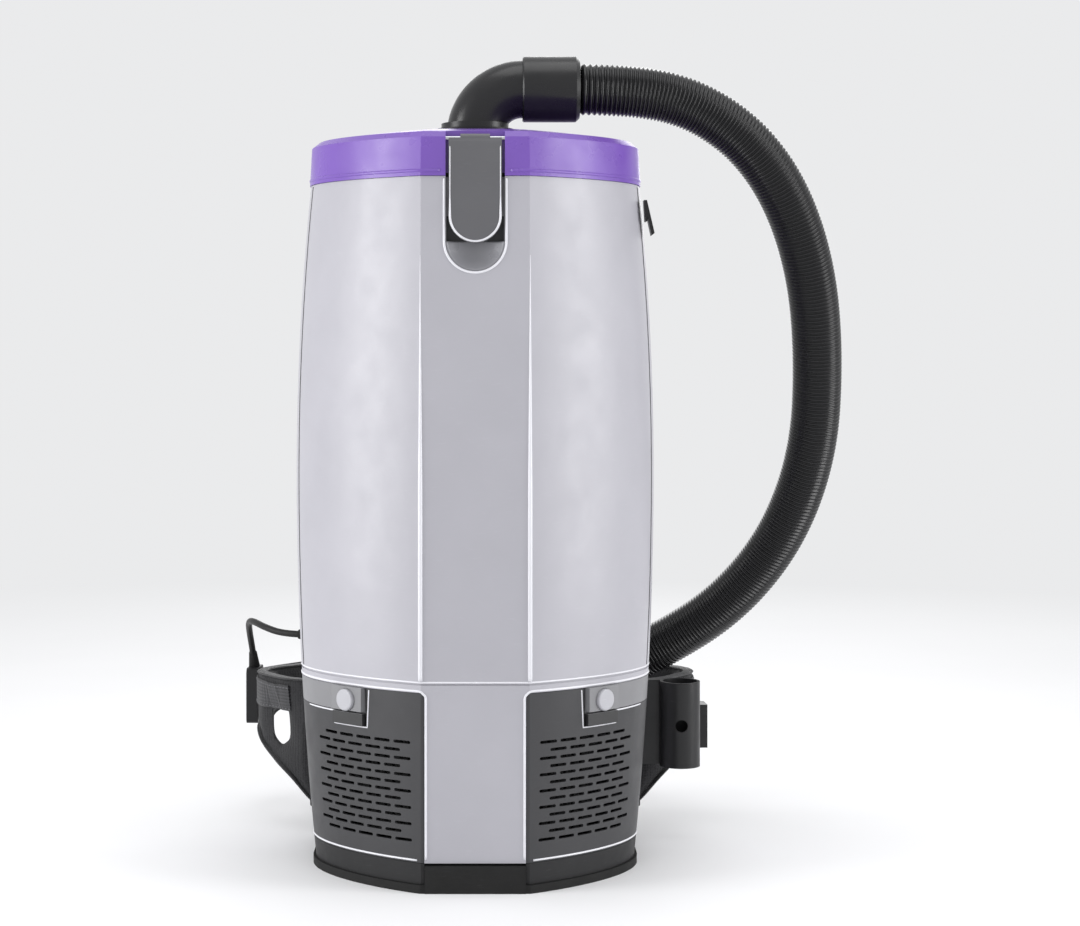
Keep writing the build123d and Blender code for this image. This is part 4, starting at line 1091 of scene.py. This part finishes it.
# ------------------------------------------------------------------ loose webbing
def joined(name, first, second, node):
    """Both sides' strips as one piece that stands for a CAD node."""
    both = bmesh.new()
    both.from_mesh(first.data)
    both.from_mesh(second.data)
    mesh = bpy.data.meshes.new(name)
    both.to_mesh(mesh)
    both.free()
    mesh.materials.append(MATERIALS["webbing"])
    bpy.data.objects.remove(first)
    bpy.data.objects.remove(second)
    piece = bpy.data.objects.new(name, mesh)
    bpy.context.scene.collection.objects.link(piece)
    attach(piece, "machine")
    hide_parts(node)


def flat_strip(name, run, width, across, body=None, thickness=1.7):
    return sweep(
        name, [p * MM for p in run], strip_profile(width * MM, thickness * MM), MATERIALS["webbing"], body,
        across=across, smooth=False,
    )


def make_webbing():
    """Adjuster tails, belt and sternum webbing, as woven strips on both sides."""
    adjusters, belts, sternums = [], [], []
    for side, name in SIDES:
        start, end = Vector((side * 72.5, 206.5, 324)), Vector((side * 90, 117, 223))
        first = start + (end - start).normalized() * 10
        adjusters.append(flat_strip("adjuster", [first.lerp(end, i / 24) for i in range(25)], 25, LEVEL))
        plan = strap_line([(154.2, 279.4), (145.7, 288.3), (100, 312), (26.3, 312)], 14, 3.0)
        belts.append(flat_strip("belt", [Vector((side * p.x, p.y, 115)) for p in plan], 34, UPRIGHT))
        inside, slot = Vector((side * 72, 213.5, 347)), start + Vector((0, 2.0, 1.6))
        flat_strip("strap_tail_" + name, [inside.lerp(slot, i / 8) for i in range(9)], 25, LEVEL, "machine")
        run = [Vector((side * (12.5 + 30 * i / 8), 233, 452)) for i in range(9)]
        sternums.append(flat_strip("sternum", run, 20, UPRIGHT))
    joined("adjuster_webs", *adjusters, "strap_webbing")
    joined("belt_webs", *belts, "belt_webbing")
    joined("sternum_webs", *sternums, "sternum_webbing")


def make_grab_handle():
    """Handle of doubled webbing standing off the top of the backplate."""
    loop = [(111.6, 452), (111.6, 470), (134, 474), (134, 500), (111.6, 497), (111.6, 485)]
    run = [Vector((0, p.x, p.y)) for p in strap_line(loop, 4, 1.5)]
    handle = flat_strip("grab_webbing", run, 28, LEVEL, "machine", 2.2)
    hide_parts("grab_handle")


bpy.context.scene.view_settings.view_transform = "Standard"
make_camera()
make_studio()
dress_nodes()
make_hose_and_cuff()
make_cable()
make_casing_lines()
make_latch_and_lid_lines()
for side, name in SIDES:
    make_shoulder_strap(side, name)
make_back_cushions()
for side, name in SIDES:
    make_hip_pad(side, name)
make_webbing()
make_grab_handle()
